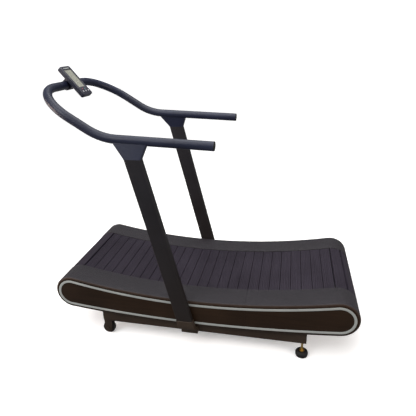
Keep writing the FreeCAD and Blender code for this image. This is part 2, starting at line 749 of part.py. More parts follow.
def make_pulleys():
    """Each end has one shaft with two pulleys, which carry the drive belts."""
    rim = dim.end_radius - roller_inset
    rim_inside = rim - dim.pulley_rim
    half_rim, half_web = (dim.belt_width + dim.pulley_spare) / 2, dim.pulley_web / 2
    shaft_end = plate_inside + dim.shaft_overhang
    for end, x in (("front", end_x), ("rear", -end_x)):
        shaft = cross_cylinder(end + "_shaft_bar", x, end_z, -shaft_end, shaft_end,
                               dim.shaft_radius)
        publish(shaft, end + "_shaft")
        pulleys = []
        for side, y in (("left", belt_middle), ("right", -belt_middle)):
            pulley = new_body("%s_%s_pulley" % (end, side))
            sketch = body_sketch(pulley)
            draw_outline(sketch, [
                (dim.shaft_radius, -half_rim), (dim.hub_radius, -half_rim),
                (dim.hub_radius, -half_web), (rim_inside, -half_web), (rim_inside, -half_rim),
                (rim, -half_rim), (rim, half_rim), (rim_inside, half_rim),
                (rim_inside, half_web), (dim.hub_radius, half_web), (dim.hub_radius, half_rim),
                (dim.shaft_radius, half_rim),
            ])
            revolve(pulley, sketch)
            pulley.Placement.Rotation = FreeCAD.Rotation(front_axis, -90)
            place(pulley, x, y, end_z)
            pulleys.append(pulley)
        publish(group(end + "_pulley_pair", pulleys), end + "_pulleys")

    housings = []
    for end, x in (("Front", end_x), ("Rear", -end_x)):
        for side, sign in (("Left", 1), ("Right", -1)):
            steps = ((plate_outside, plate_outside + 8, dim.housing_radius),
                     (plate_outside + 8, shaft_end - 2, dim.housing_radius * 0.7))
            parts = []
            for level, (low, high, radius) in enumerate(steps):
                low, high = (low, high) if sign > 0 else (-high, -low)
                parts.append(cross_cylinder("%s%sHousing%d" % (end, side, level),
                                            x, end_z, low, high, radius))
            low, high = plate_outside, shaft_end - 2
            low, high = (low, high) if sign > 0 else (-high, -low)
            bore = cross_cylinder("%s%sHousingBore" % (end, side), x, end_z, low - 1, high + 1,
                                  dim.shaft_radius + dim.shaft_clearance)
            solid = fuse("%s%sHousingBlank" % (end, side), parts)
            housings.append(cut("%s%sHousing" % (end, side), solid, bore))
    publish(group("ShaftHousings", housings), "shaft_bearings")

    screws = []
    lug_x = dim.housing_radius + 60 - end_x
    for side, sign in (("Left", 1), ("Right", -1)):
        low, high = plate_outside, plate_outside + 16
        low, high = (low, high) if sign > 0 else (-high, -low)
        lug = make_box("TensionLug" + side, (lug_x, lug_x + 12), (low, high),
                       (end_z - 12, end_z + 12))
        screw = doc.addObject("Part::Cylinder", "TensionScrew" + side)
        bind(screw, Radius=3.2, Height=as_size(68))
        screw.Placement.Rotation = FreeCAD.Rotation(side_axis, 90)
        place(screw, dim.housing_radius - end_x, (low + high) / 2, end_z)
        screws.append(fuse("BeltTensioner" + side, [lug, screw]))
    publish(group("BeltTensioners", screws), "belt_tensioners")


# --- slat belt --------------------------------------------------------------------

def loop_pieces(inset):
    """The closed loop at an inset as arcs: centre, radius, start angle and sweep."""
    end_x_value, end_z_value = end_x.value, end_z.value
    top_tilt = math.asin(end_x_value / top_reach.value)
    low_tilt = math.asin(end_x_value / under_reach.value)
    top_radius = dim.running_radius.value + inset
    low_radius = under_radius.value - inset
    end_radius = dim.end_radius.value - inset
    end_sweep = math.pi + top_tilt - low_tilt
    quarter = math.pi / 2
    return [
        ((0, top_centre_z.value), top_radius, top_tilt - quarter, -2 * top_tilt),
        ((-end_x_value, end_z_value), end_radius, quarter - top_tilt, end_sweep),
        ((0, under_centre_z.value), low_radius, -quarter - low_tilt, 2 * low_tilt),
        ((end_x_value, end_z_value), end_radius, low_tilt - quarter, end_sweep),
    ]


def loop_frames(inset, count):
    """Evenly spaced places round the loop: x, z and the outward direction, as an angle.
    The first lies in the middle of the running surface."""
    pieces = loop_pieces(inset)
    lengths = [radius * abs(sweep) for _, radius, _, sweep in pieces]
    total = sum(lengths)
    frames = []
    for index in range(count):
        distance = (index / count * total + lengths[0] / 2) % total
        for (centre, radius, start, sweep), length in zip(pieces, lengths):
            if distance <= length:
                break
            distance -= length
        angle = start + sweep * distance / length
        x = centre[0] + radius * math.cos(angle)
        z = centre[1] + radius * math.sin(angle)
        outward = angle + math.pi if sweep < 0 else angle
        frames.append((x, z, outward))
    return frames, total


def slat_section(width):
    """Outline of one slat about the middle of its face: bevelled edges and V grooves."""
    half, bevel = width / 2, dim.slat_bevel.value
    thick = dim.slat_thick.value
    groove_half, depth = dim.groove_half.value, dim.groove_depth.value
    count = int(dim.groove_count.value)
    points = [(half - bevel, 0)]
    for index in range(count):
        middle = half - (index + 1) * width / (count + 1)
        points += [(middle + groove_half, 0), (middle, -depth), (middle - groove_half, 0)]
    points += [(bevel - half, 0), (-half, -bevel), (-half, -thick), (half, -thick),
               (half, -bevel)]
    return points


def make_belt():
    slat_count = int(dim.slat_count.value)
    drop, thick = dim.slat_drop.value, dim.slat_thick.value
    pitch_inset = drop + thick + dim.belt_thick.value / 2
    frames, total = loop_frames(pitch_inset, slat_count)
    width = total / slat_count - dim.slat_gap.value
    face = drop - pitch_inset
    points = [vector(along, 0, height - face) for along, height in slat_section(width)]
    outline = Part.Face(Part.makePolygon(points + points[:1]))
    length = 2 * dim.slat_end.value
    plate = outline.extrude(vector(0, length, 0))
    plate.translate(vector(0, -length / 2, 0))
    rib_end = (belt_inside - dim.rib_setback).value
    rib = Part.makeBox(dim.rib_thick.value, 2 * rib_end, dim.rib_depth.value + 1,
                       vector(-dim.rib_thick.value / 2, -rib_end,
                              -face - thick - dim.rib_depth.value))
    slat = plate.fuse(rib)
    slats = []
    for x, z, outward in frames:
        copy = slat.copy()
        turn = FreeCAD.Rotation(side_axis, 90 - math.degrees(outward))
        copy.Placement = FreeCAD.Placement(vector(x, 0, z), turn)
        slats.append(copy)
    belt = doc.addObject("Part::Feature", "BeltSlats")
    belt.Shape = Part.makeCompound(slats)
    publish(belt, "belt_slats")

    drive = deck_slice("DriveBelt", [belt_face, belt_face + dim.belt_thick],
                       belt_inside, belt_inside + dim.belt_width)
    publish_pair(drive, "drive_belt")


# --- covers and side panels -------------------------------------------------------

def split_at_seam(name, feature, z_high):
    """The front and rear halves of a piece that runs the whole length of the deck."""
    far = dim.deck_length / 2 + 20
    ranges = {"front": (dim.cover_seam + dim.seam_gap / 2, far),
              "rear": (-far, dim.cover_seam - dim.seam_gap / 2)}
    halves = {}
    for end, x_range in ranges.items():
        block = make_box("%s_%s_block" % (name, end), x_range,
                         (cover_inside - 20, dim.cover_outside + 20), (0, z_high))
        halves[end] = common("%s_%s" % (name, end), feature, block)
    return halves


def make_covers():
    outside = dim.cover_outside
    skin = deck_slice("CoverSkin", [0], cover_inside, outside)
    skin = round_outer_edges("CoverRounded", skin, outside, dim.cover_round)
    inside = outside - dim.cover_wall
    core = deck_slice("CoverCore", [dim.cover_wall], cover_inside - 5, inside)
    core = round_outer_edges("CoverCoreRounded", core, inside, dim.cover_round - dim.cover_wall)
    shell = cut("CoverShell", skin, core)
    lip = deck_slice("CoverLip", [0, dim.cover_lip], cover_inside, cover_inside + dim.lip_thick)
    shell = fuse("CoverWithLip", [shell, lip])
    wall_round = dim.cover_round - dim.cover_wall
    opening = make_box("CoverOpening", (-dim.cover_wrap, dim.cover_wrap),
                       (cover_inside - 5, inside - wall_round),
                       (0, (under_low + deck_low) / 2))
    shell = cut("CoverOpened", shell, opening)
    top = end_z + dim.end_radius * 2
    for end, half in split_at_seam("Cover", shell, top).items():
        publish_pair(half, end + "_cover")

    sheet = deck_slice("PanelSheet", [dim.panel_inset], outside, outside + dim.panel_thick)
    for end, half in split_at_seam("Panel", sheet, top).items():
        publish_pair(half, end + "_side_panel")
    strip = deck_slice("AccentStrip", [dim.strip_inset, dim.strip_inset + dim.strip_width],
                       panel_face, panel_face + dim.strip_thick)
    publish_pair(strip, "accent_strip")


# --- uprights and handlebar -------------------------------------------------------

def leaning_post(name, section, low_edge, top, wall=None):
    """A post that leans forward, from a level section up to the given height. Its lower end
    slants up outwards from low_edge at the inner face. With a wall it is a tube."""
    post = new_body(name)
    sketch = body_sketch(post, "XY_Plane", upright_bottom)
    draw_outline(sketch, rounded_rectangle(*section))
    if wall:
        draw_outline(sketch, rounded_rectangle(*shrink(section, wall)))
    rise = as_size(top) - upright_bottom
    feature = pad(post, sketch, rise)
    feature.UseCustomVector = True
    feature.Direction = vector((dim.upright_head - dim.upright_foot).value, 0,
                               (dim.upright_top - upright_bottom).value)
    feature.AlongSketchNormal = True
    below = upright_bottom - 1
    inner, outer = upright_inside - 1, section[3] + 1
    slant = body_sketch(post, "YZ_Plane", section[0] - 30)
    draw_outline(slant, [
        (inner, below), (outer, below),
        (outer, low_edge + dim.mitre_rise * (outer - upright_inside)),
        (inner, low_edge - dim.mitre_rise),
    ])
    pocket(post, slant, section[1] - section[0] + 60, reverse=True)
    return post


def make_uprights():
    half_depth = dim.upright_depth / 2
    section = (dim.upright_foot - half_depth, dim.upright_foot + half_depth,
               upright_inside, upright_inside + dim.upright_thick, dim.upright_round)
    wall = dim.socket_wall
    floor = wall * (dim.mitre_rise * dim.mitre_rise + 1).root()
    upright = leaning_post("Upright", section, upright_bottom + 1 + floor, dim.upright_top,
                           dim.tube_wall)
    drill_for_bolts(upright, upright_inside - 1, dim.tube_wall + 1)
    publish_pair(upright, "upright")

    socket_top = upright_bottom + dim.socket_height
    outline = (section[0] - wall, section[1] + wall, upright_inside, section[3] + wall,
               dim.upright_round)
    case = leaning_post("SocketCase", outline, upright_bottom + 1, socket_top)
    space = leaning_post("SocketSpace", section, upright_bottom + 1 + floor, socket_top + 1)
    arm = make_box("SocketArm", outline[:2], (rail_outside, upright_inside + wall),
                   (rail_bottom + dim.arm_start, under_low - dim.arm_gap))
    drills = [cross_cylinder("SocketHole%d" % index, x, bolt_z, rail_outside - 1,
                             upright_inside + wall + 1, dim.bolt_radius)
              for index, x in enumerate(bolt_places)]
    whole = fuse("SocketWhole", [case, arm])
    publish_pair(cut("UprightSocket", whole, fuse("SocketSpaces", [space] + drills)),
                 "upright_socket")
    bolts = []
    for side, sign in (("Left", 1), ("Right", -1)):
        for index, x in enumerate(bolt_places):
            parts = []
            for part, low, high, radius in (
                    ("Shank", rail_inside - 6, upright_inside + 8, dim.bolt_radius),
                    ("Head", rail_inside - 6, rail_inside, dim.bolt_radius + 3.5)):
                low, high = (low, high) if sign > 0 else (-high, -low)
                parts.append(cross_cylinder("UprightBolt%s%s%d" % (part, side, index),
                                            x, bolt_z, low, high, radius))
            bolts.append(fuse("UprightBolt%s%d" % (side, index), parts))
    publish(group("UprightBolts", bolts), "upright_bolts")


def bend(before, corner, after, radius):
    """The tangent arc that rounds a corner of a path: its first, middle and last point."""
    towards_before = (before - corner).normalize()
    towards_after = (after - corner).normalize()
    half_turn = towards_before.getAngle(towards_after) / 2
    reach = radius / math.tan(half_turn)
    inward = (towards_before + towards_after).normalize()
    centre = corner + inward * (radius / math.sin(half_turn))
    return corner + towards_before * reach, centre - inward * radius, corner + towards_after * reach


def handlebar_path():
    side = dim.bar_side.value
    half = [
        vector(dim.bar_rear.value, side, dim.bar_rear_height.value),
        vector(dim.bar_knee.value, side, dim.bar_knee_height.value),
        vector(dim.bar_front.value, side, dim.bar_front_height.value),
    ]
    mirrored = [vector(point.x, -point.y, point.z) for point in reversed(half)]
    points = half + mirrored
    radii = [dim.knee_radius.value, dim.corner_radius.value]
    radii += radii[::-1]
    edges, last = [], points[0]
    for index, radius in enumerate(radii, start=1):
        first, middle, final = bend(points[index - 1], points[index], points[index + 1], radius)
        edges += [Part.LineSegment(last, first).toShape(), Part.Arc(first, middle, final).toShape()]
        last = final
    edges.append(Part.LineSegment(last, points[-1]).toShape())
    return Part.Wire(edges), points


def make_handlebar():
    path, points = handlebar_path()
    start = points[0]
    along = (points[1] - start).normalize()

    def tube(radius):
        ring = Part.Wire([Part.makeCircle(radius, start, along)])
        return path.makePipeShell([ring], True, False)

    radius = dim.bar_radius.value
    solid = tube(radius)
    bar = doc.addObject("Part::Feature", "HandlebarTube")
    bar.Shape = solid.cut(tube(radius - dim.tube_wall.value))
    publish(bar, "handlebar_tube")

    caps = []
    thick, dome = dim.cap_thick.value, 3
    plug = radius - dim.tube_wall.value
    for side in (1, -1):
        end = vector(start.x, side * start.y, start.z)
        disc = Part.makeCylinder(radius, thick, end - along * thick, along)
        rim = [edge for edge in disc.Edges if (edge.CenterOfMass - end).Length > thick * 0.9]
        disc = disc.makeFillet(dome, [edge for edge in rim if edge.Closed])
        caps.append(disc.fuse(Part.makeCylinder(plug, 14, end, along)))
    end_caps = doc.addObject("Part::Feature", "HandlebarEndCaps")
    end_caps.Shape = Part.makeCompound(caps)
    publish(end_caps, "handlebar_end_caps")

    half_depth = dim.upright_depth.value / 2
    low_y = upright_inside.value
    high_y = low_y + dim.upright_thick.value
    shift = dim.bar_side.value - (low_y + high_y) / 2
    narrow = 2.5
    slope = along.z / along.x
    sections = []
    levels = ((dim.upright_head.value - half_depth, dim.upright_head.value + half_depth, 0, 0, 0),
              (dim.gusset_rear.value, dim.gusset_front.value, shift, narrow, 1))
    for x_low, x_high, moved, inset, at_bar in levels:
        ring = []
        for x, y in ((x_low, low_y + inset), (x_high, low_y + inset),
                     (x_high, high_y - inset), (x_low, high_y - inset)):
            z = dim.upright_top.value
            if at_bar:
                z = start.z + slope * (x - start.x)
            ring.append(vector(x, y + moved, z))
        sections.append(Part.makePolygon(ring + ring[:1]))
    block = Part.makeLoft(sections, True, True)
    gusset = doc.addObject("Part::Feature", "Gusset")
    gusset.Shape = block.cut(solid)
    publish_pair(gusset, "gusset")


# --- console ----------------------------------------------------------------------

def console_frame(feature):
    """Console parts are drawn about the crossbar: X along the face, Y across, Z out of it."""
    feature.Placement.Rotation = FreeCAD.Rotation(side_axis, -dim.console_angle.value)
    return place(feature, dim.bar_front, 0, dim.bar_front_height)


def console_plate(name, outlines, low, high):
    """A flat console part with the given outlines, between two levels."""
    body = new_body(name)
    sketch = body_sketch(body, "XY_Plane", low)
    for outline in outlines:
        draw_outline(sketch, outline)
    pad(body, sketch, as_size(high) - low)
    return body


def make_console():
    half = dim.console_half
    case = (dim.console_lower, dim.console_upper, -half, half, dim.console_round)
    back = dim.console_back
    front = back + dim.console_depth
    shell = console_plate("ConsoleShell", [rounded_rectangle(*case)], back, front)
    hollow = body_sketch(shell, "XY_Plane", front)
    draw_outline(hollow, rounded_rectangle(*shrink(case, dim.console_wall)))
    pocket(shell, hollow, dim.console_depth - dim.console_wall)
    publish(console_frame(shell), "console_back_shell")

    window_half = half - dim.bezel_side
    window = (dim.console_lower + dim.bezel_lower, dim.console_upper - dim.bezel_upper,
              -window_half, window_half, as_size(4))
    button_row = dim.console_lower + dim.button_row
    bezel = console_plate("ConsoleBezel", [rounded_rectangle(*case), rounded_rectangle(*window)],
                          front, front + dim.bezel_thick)
    holes = body_sketch(bezel, "XY_Plane", front + dim.bezel_thick)
    for step in (-1, 0, 1):
        draw_circle(holes, button_row, dim.button_spread * step,
                    dim.button_radius + dim.button_gap)
    pocket(bezel, holes, dim.bezel_thick + 1)
    publish(console_frame(bezel), "console_bezel")

    lens = console_plate("ConsoleLens", [rounded_rectangle(*shrink(window, dim.lens_gap))],
                         front + 0.4, front + 0.4 + dim.lens_thick)
    publish(console_frame(lens), "console_lens")
    display = console_plate("ConsoleDisplay", [rounded_rectangle(*shrink(window, as_size(-2)))],
                            front - dim.display_thick, front)
    publish(console_frame(display), "console_display")

    for index, step in enumerate((-1, 0, 1), start=1):
        button = new_body("ConsoleButton%d" % index)
        sketch = body_sketch(button)
        cap, flange = dim.button_radius, dim.button_radius + 1.5
        low, seat = front - 2.5, front - 0.5
        high = front + dim.bezel_thick + dim.button_proud
        draw_outline(sketch, [
            (0, low), (flange, low), (flange, seat), (cap, seat), (cap, high - 1),
            (cap - 1, high), (0, high),
        ])
        revolve(button, sketch)
        turn = FreeCAD.Rotation(side_axis, -dim.console_angle.value)
        button.Placement.Rotation = turn
        offset = turn.multVec(vector(button_row.value, 0, 0))
        place(button, dim.bar_front + offset.x, dim.button_spread * step,
              dim.bar_front_height + offset.z)
        publish(button, "console_button_%d" % index)

    clamp = new_body("ConsoleClamp")
    sketch = body_sketch(clamp)
    band = dim.bar_radius + dim.clamp_wall
    draw_outline(sketch, [
        (-band, dim.console_back),
        (-band, 0, 0, 0, 1),
        (band, 0), (band, dim.console_back),
    ])
    draw_circle(sketch, 0, 0, dim.bar_radius + dim.shaft_clearance)
    pad(clamp, sketch, dim.clamp_half * 2, middle=True)
    console_frame(clamp)

    screws = []
    turn = FreeCAD.Rotation(side_axis, -dim.console_angle.value)
    for sign in (1, -1):
        screw = Part.makeCylinder(4.5, 4, vector(0, sign * 18, -band.value - 3), up_axis)
        screw = screw.cut(Part.makeCylinder(2, 2.5, vector(0, sign * 18, -band.value - 3), up_axis))
        screws.append(screw)
    heads = doc.addObject("Part::Feature", "ClampScrews")
    heads.Shape = Part.makeCompound(screws)
    publish(console_frame(heads), "clamp_screws")
    publish(cut("ClampSeated", clamp, heads), "console_clamp")


# --- build, check and write ---------------------------------------------------------

def main():
    make_base()
    make_wheels()
    make_feet()
    make_guides()
    make_side_plates()
    make_deck_frame()
    make_pulleys()
    make_belt()
    make_covers()
    make_uprights()
    make_handlebar()
    make_console()
    doc.recompute()
    for item in doc.Objects:
        for problem in ("Invalid", "Error"):
            if problem in item.State:
                raise RuntimeError("%s (%s) is %s" % (item.Name, item.Label, problem))
    os.makedirs("parts", exist_ok=True)
    for feature in nodes:
        shape = feature.Shape
        if shape.isNull() or not shape.isValid() or not shape.Solids:
            raise RuntimeError(feature.Label + " has no valid solid")
        shape.exportStep("parts/%s.step" % feature.Label)
        box = shape.BoundBox
        print("%-24s %3d solids  x %7.1f %7.1f  y %7.1f %7.1f  z %7.1f %7.1f  %9.1f cm3" % (
            feature.Label, len(shape.Solids), box.XMin, box.XMax, box.YMin, box.YMax,
            box.ZMin, box.ZMax, shape.Volume / 1000))
    print(len(nodes), "nodes")


main()
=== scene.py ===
import math

import bmesh
import bpy
import numpy as np
from mathutils import Euler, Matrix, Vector


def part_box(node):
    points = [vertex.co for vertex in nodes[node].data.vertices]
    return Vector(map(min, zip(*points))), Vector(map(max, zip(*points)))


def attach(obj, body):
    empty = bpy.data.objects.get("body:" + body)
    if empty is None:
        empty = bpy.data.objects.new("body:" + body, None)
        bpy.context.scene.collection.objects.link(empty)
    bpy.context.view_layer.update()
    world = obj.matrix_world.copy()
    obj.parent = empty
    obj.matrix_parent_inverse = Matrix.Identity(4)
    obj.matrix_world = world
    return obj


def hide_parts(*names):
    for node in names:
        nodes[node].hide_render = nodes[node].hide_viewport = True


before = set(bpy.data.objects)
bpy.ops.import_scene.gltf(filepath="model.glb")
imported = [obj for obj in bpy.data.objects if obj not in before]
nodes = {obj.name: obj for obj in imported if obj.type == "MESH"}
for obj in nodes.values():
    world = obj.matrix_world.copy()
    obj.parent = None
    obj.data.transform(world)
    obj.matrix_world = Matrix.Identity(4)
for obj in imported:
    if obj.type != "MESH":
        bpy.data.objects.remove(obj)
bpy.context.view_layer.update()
print("frame loaded:", len(nodes), "nodes")

mm = 0.001
fullTurn = 2 * math.pi


# Corner (i, j) of a grid of closed rings joins (i + 1, j) and (i, j + 1), wrapping round in j.
def ringFaces(rows, columns, closeRows):
    i = np.arange(rows if closeRows else rows - 1)[:, None]
    j = np.arange(columns)[None, :]
    nextI, nextJ = (i + 1) % rows, (j + 1) % columns
    quads = np.stack(np.broadcast_arrays(i * columns + j, i * columns + nextJ,
                                         nextI * columns + nextJ, nextI * columns + j), -1)
    return quads.reshape(-1, 4).tolist()


# A solid from stacked rings (rows, columns, 3): a flat face on both end rings, or the last
# ring joined to the first.
def ringSolid(rings, closeRows=False):
    rows, columns = rings.shape[:2]
    faces = ringFaces(rows, columns, closeRows)
    if not closeRows:
        faces += [list(range(columns))[::-1], list(range((rows - 1) * columns, rows * columns))]
    return rings.reshape(-1, 3), faces


def joinSolids(solids):
    offsets = np.cumsum([0] + [len(points) for points, _ in solids])
    faces = [[index + int(offset) for index in face]
             for (_, partFaces), offset in zip(solids, offsets) for face in partFaces]
    return np.concatenate([points for points, _ in solids]), faces


# The same solid at n places: turn matrices (n, 3, 3) times the points, plus shifts (n, 3).
def repeatSolid(solid, turns, shifts):
    points, faces = solid
    placed = np.einsum("nij,vj->nvi", turns, points) + shifts[:, None]
    allFaces = [[index + k * len(points) for index in face]
                for k in range(len(shifts)) for face in faces]
    return placed.reshape(-1, 3), allFaces


def mirrored(solid):
    return solid[0] * np.array((1, -1, 1)), [face[::-1] for face in solid[1]]


# One mesh piece at the origin: normals outwards, smooth but sharp past the given angle.
def makePiece(name, solid, material, body="frame", replaces=(), sharp=32, uv=None):
    mesh = bpy.data.meshes.new(name)
    mesh.from_pydata(solid[0].tolist(), [], solid[1])
    if uv is not None:
        layer = mesh.uv_layers.new(name="surface")
        corners = np.empty(len(mesh.loops), np.int32)
        mesh.loops.foreach_get("vertex_index", corners)
        layer.uv.foreach_set("vector", uv[corners].astype(np.float32).ravel())
    shell = bmesh.new()
    shell.from_mesh(mesh)
    bmesh.ops.recalc_face_normals(shell, faces=shell.faces)
    shell.to_mesh(mesh)
    shell.free()
    mesh.polygons.foreach_set("use_smooth", np.ones(len(mesh.polygons), bool))
    mesh.set_sharp_from_angle(angle=math.radians(sharp))
    mesh.materials.append(material)
    piece = bpy.data.objects.new(name, mesh)
    bpy.context.scene.collection.objects.link(piece)
    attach(piece, body)
    if replaces:
        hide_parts(*replaces)
    return piece


# The left piece and its mirror image, each standing for the CAD node of the same side.
def makePair(name, solid, material, uv=None, sharp=32, bodies=("frame", "frame")):
    for side, body, turned in (("left", bodies[0], solid), ("right", bodies[1], mirrored(solid))):
        makePiece(side + name[0].upper() + name[1:], turned, material, body,
                  (side + "_" + snake(name),), sharp, uv)


def snake(name):
    return "".join("_" + letter.lower() if letter.isupper() else letter for letter in name)


# Rectangle whose corners are quarter circles: corner centre plus radius times (cos a, sin a).
def roundedRectangle(halfX, halfY, radius, inset=0.0, steps=6):
    radius = max(radius - inset, 0.1 * mm)
    turn = np.arange(4)[:, None] * math.pi / 2 + np.linspace(0, math.pi / 2, steps + 1)
    signs = np.array(((1, 1), (-1, 1), (-1, -1), (1, -1)))[:, None, :]
    centre = np.array((halfX - inset - radius, halfY - inset - radius))
    circle = np.stack((np.cos(turn), np.sin(turn)), -1) * radius
    return (signs * centre + circle).reshape(-1, 2)


# (inset, height) pairs from low to high, with a quarter-round edge at one or both ends.
def edgeLevels(low, high, lowRadius, highRadius, steps=3):
    angles = np.linspace(0, math.pi / 2, steps + 1)
    rise = [(lowRadius * (1 - math.sin(a)), low + lowRadius * (1 - math.cos(a))) for a in angles]
    fall = [(highRadius * (1 - math.sin(a)), high - highRadius * (1 - math.cos(a)))
            for a in angles[::-1]]
    return rise + fall


# Rings of outline(inset) at each height, put in space by place(points, height).
def slab(outline, levels, place):
    return ringSolid(np.stack([place(outline(inset), height) for inset, height in levels]))


def standing(points, height):       # flat points are (x, z), height runs along y
    return np.stack((points[:, 0], np.full(len(points), height), points[:, 1]), -1)


def lying(points, height):          # flat points are (x, y), height runs along z
    return np.stack((points[:, 0], points[:, 1], np.full(len(points), height)), -1)


# Profile rows (radius, along) turned about an axis: centre + along * axis + radius * circle.
def lathe(profile, centre, axis, steps=48, closeRows=False):
    axis = np.array(axis, float)
    first = np.array((0, 0, 1.0)) if abs(axis[2]) < 0.7 else np.array((1.0, 0, 0))
    first -= axis * first.dot(axis)
    first /= np.linalg.norm(first)
    angles = np.linspace(0, fullTurn, steps, endpoint=False)[:, None]
    circle = np.cos(angles) * first + np.sin(angles) * np.cross(axis, first)
    radius, along = np.array(profile, float).T
    rings = (np.array(centre, float) + along[:, None, None] * axis
             + radius[:, None, None] * circle[None])
    return ringSolid(rings, closeRows)


def boxBlock(low, high, radius=1.0 * mm):      # a block with rounded edges, between two corners
    low, high = np.array(low), np.array(high)
    middle, half = (low + high) / 2, (high - low) / 2
    return slab(lambda inset: middle[:2] + roundedRectangle(half[0], half[1], 2 * radius, inset),
                edgeLevels(low[2], high[2], radius, radius), lying)


# A number that varies over a surface: arithmetic on it adds Math nodes.
class Value:
    def __init__(self, shader, socket):
        self.shader, self.socket = shader, socket

    def math(self, operation, *others, swap=False):
        values = [self, *others]
        if swap:
            values.reverse()
        made = self.shader.node("ShaderNodeMath", {"operation": operation}, dict(enumerate(values)))
        return Value(self.shader, made.outputs[0])

    def __add__(self, other):
        return self.math("ADD", other)

    def __sub__(self, other):
        return self.math("SUBTRACT", other)

    def __rsub__(self, other):
        return self.math("SUBTRACT", other, swap=True)

    def __mul__(self, other):
        return self.math("MULTIPLY", other)

    __radd__, __rmul__ = __add__, __mul__


# One node material. Numbers that are the same all over stand on the shader's own sockets.
class Shader:
    def __init__(self, name, roughness=0.5, metallic=0.0, **fixed):
        self.material = bpy.data.materials.new(name)
        self.material.use_nodes = True
        self.tree = self.material.node_tree
        self.surface = self.tree.nodes["Principled BSDF"]
        fixed.update(Roughness=roughness, Metallic=metallic)
        for socket, number in fixed.items():
            self.surface.inputs[socket.replace("_", " ")].default_value = number

    def node(self, kind, settings=None, inputs=None):
        made = self.tree.nodes.new(kind)
        for key, setting in (settings or {}).items():
            setattr(made, key, setting)
        for key, value in (inputs or {}).items():
            self.feed(made.inputs[key], value)
        return made

    def feed(self, socket, value):
        value = value.socket if isinstance(value, Value) else value
        if isinstance(value, bpy.types.NodeSocket):
            self.tree.links.new(value, socket)
        else:
            socket.default_value = value

    def place(self, scale=(1, 1, 1), source="Object"):     # metres, or the surface map
        start = self.node("ShaderNodeTexCoord").outputs[source]
        return self.node("ShaderNodeMapping", None, {"Vector": start, "Scale": scale}).outputs[0]

    def split(self, vector):
        parts = self.node("ShaderNodeSeparateXYZ", None, {"Vector": vector}).outputs
        return [Value(self, part) for part in parts]

    def noise(self, vector, scale, detail=3.0, roughness=0.55):
        inputs = {"Vector": vector, "Scale": scale, "Detail": detail, "Roughness": roughness}
        made = self.node("ShaderNodeTexNoise", None, inputs)
        return Value(self, made.outputs[0])

    def cells(self, vector, scale):
        made = self.node("ShaderNodeTexVoronoi", {"feature": "SMOOTH_F1"},
                         {"Vector": vector, "Scale": scale})
        return Value(self, made.outputs["Distance"])

    def remap(self, value, low, high, newLow=0.0, newHigh=1.0):
        made = self.node("ShaderNodeMapRange", {"clamp": True},
                         {0: value, 1: low, 2: high, 3: newLow, 4: newHigh})
        return Value(self, made.outputs[0])

    def mix(self, factor, first, second):
        made = self.node("ShaderNodeMix", {"data_type": "RGBA"}, {0: factor, 6: first, 7: second})
        return made.outputs[2]

    def colour(self, socket):
        self.feed(self.surface.inputs["Base Color"], socket)

    def gloss(self, value, smooth, rough):
        self.feed(self.surface.inputs["Roughness"], self.remap(value, 0.3, 0.7, smooth, rough))

    def bump(self, height, distance):       # height 0 to 1, distance in metres
        made = self.node("ShaderNodeBump", None, {"Height": height, "Distance": distance})
        self.feed(self.surface.inputs["Normal"], made.outputs["Normal"])


# A screen colour as linear light: c / 12.92 near black, else ((c + 0.055) / 1.055) to the 2.4.
def tint(*screen):
    part = np.array(screen) / 255
    linear = np.where(part <= 0.04045, part / 12.92, ((part + 0.055) / 1.055) ** 2.4)
    return (*linear.tolist(), 1.0)


# Moulded plastic or rubber: fine grain, soft blotches of tone and uneven gloss.
def moulded(name, dark, light, grain=900, depth=0.12 * mm, gloss=(0.42, 0.6), blotch=6, **fixed):
    shader = Shader(name, **fixed)
    where = shader.place()
    tone = shader.noise(where, blotch, 4, 0.6)
    fine = shader.noise(where, grain, 2, 0.6)
    shader.colour(shader.mix(shader.remap(tone * 0.7 + fine * 0.3, 0.32, 0.68), dark, light))
    shader.gloss(shader.noise(where, blotch * 5, 5), *gloss)
    shader.bump(fine, depth)
    return shader.material


# Running surface: dark rubber with pressed-in speckle, streaks along the slats, and dust.
def slatRubber():
    shader = Shader("slatRubber", Specular_IOR_Level=0.2)
    where = shader.place()
    streak = shader.noise(shader.place((180, 3, 180)), 1.0, 3, 0.6)
    speckle = shader.noise(where, 750, 2, 0.7)
    wear = shader.noise(where, 3.5, 5, 0.6)
    base = shader.mix(shader.remap(streak * 0.45 + wear * 0.55, 0.36, 0.64),
                      tint(33, 28, 37), tint(47, 42, 52))
    shader.colour(shader.mix(shader.remap(speckle, 0.58, 0.78, 0.0, 0.28), base, tint(66, 61, 71)))
    shader.gloss(wear, 0.48, 0.68)
    shader.bump(speckle * 0.6 + streak * 0.4, 0.5 * mm)
    return shader.material


# Side covers: small raised diamonds from two crossed rows of ridges on the surface map,
# |sin(pi (u + v) / pitch)| and |sin(pi (u - v) / pitch)|, the lower one at each point.
def coverPlastic(pitch=10 * mm):
    shader = Shader("coverPlastic", Specular_IOR_Level=0.24)
    u, v, _ = shader.split(shader.place(source="UV"))
    first = ((u + v) * (math.pi / pitch)).math("SINE").math("ABSOLUTE")
    second = ((u - v) * (math.pi / pitch)).math("SINE").math("ABSOLUTE")
    diamonds = first.math("MINIMUM", second)
    where = shader.place()
    blotch = shader.noise(where, 4, 4, 0.6)
    fine = shader.noise(where, 1100, 2, 0.6)
    # Painted shade: the grooves between the raised diamonds come out near black and the diamond
    # tops lighter, mixed with random blotches and grain.
    tone = shader.remap(diamonds * 0.7 + blotch * 0.2 + fine * 0.1, 0.12, 0.75)
    sides = shader.remap(shader.split(where)[1].math("ABSOLUTE"), 383 * mm, 387.5 * mm)
    charcoalWithGrooveShade = shader.mix(tone, tint(9, 8, 10), tint(57, 54, 59))
    shader.colour(shader.mix(sides, charcoalWithGrooveShade, tint(50, 36, 27)))
    shader.gloss(blotch, 0.42, 0.58)
    shader.bump(diamonds * 0.85 + fine * 0.15, 1.1 * mm)
    return shader.material


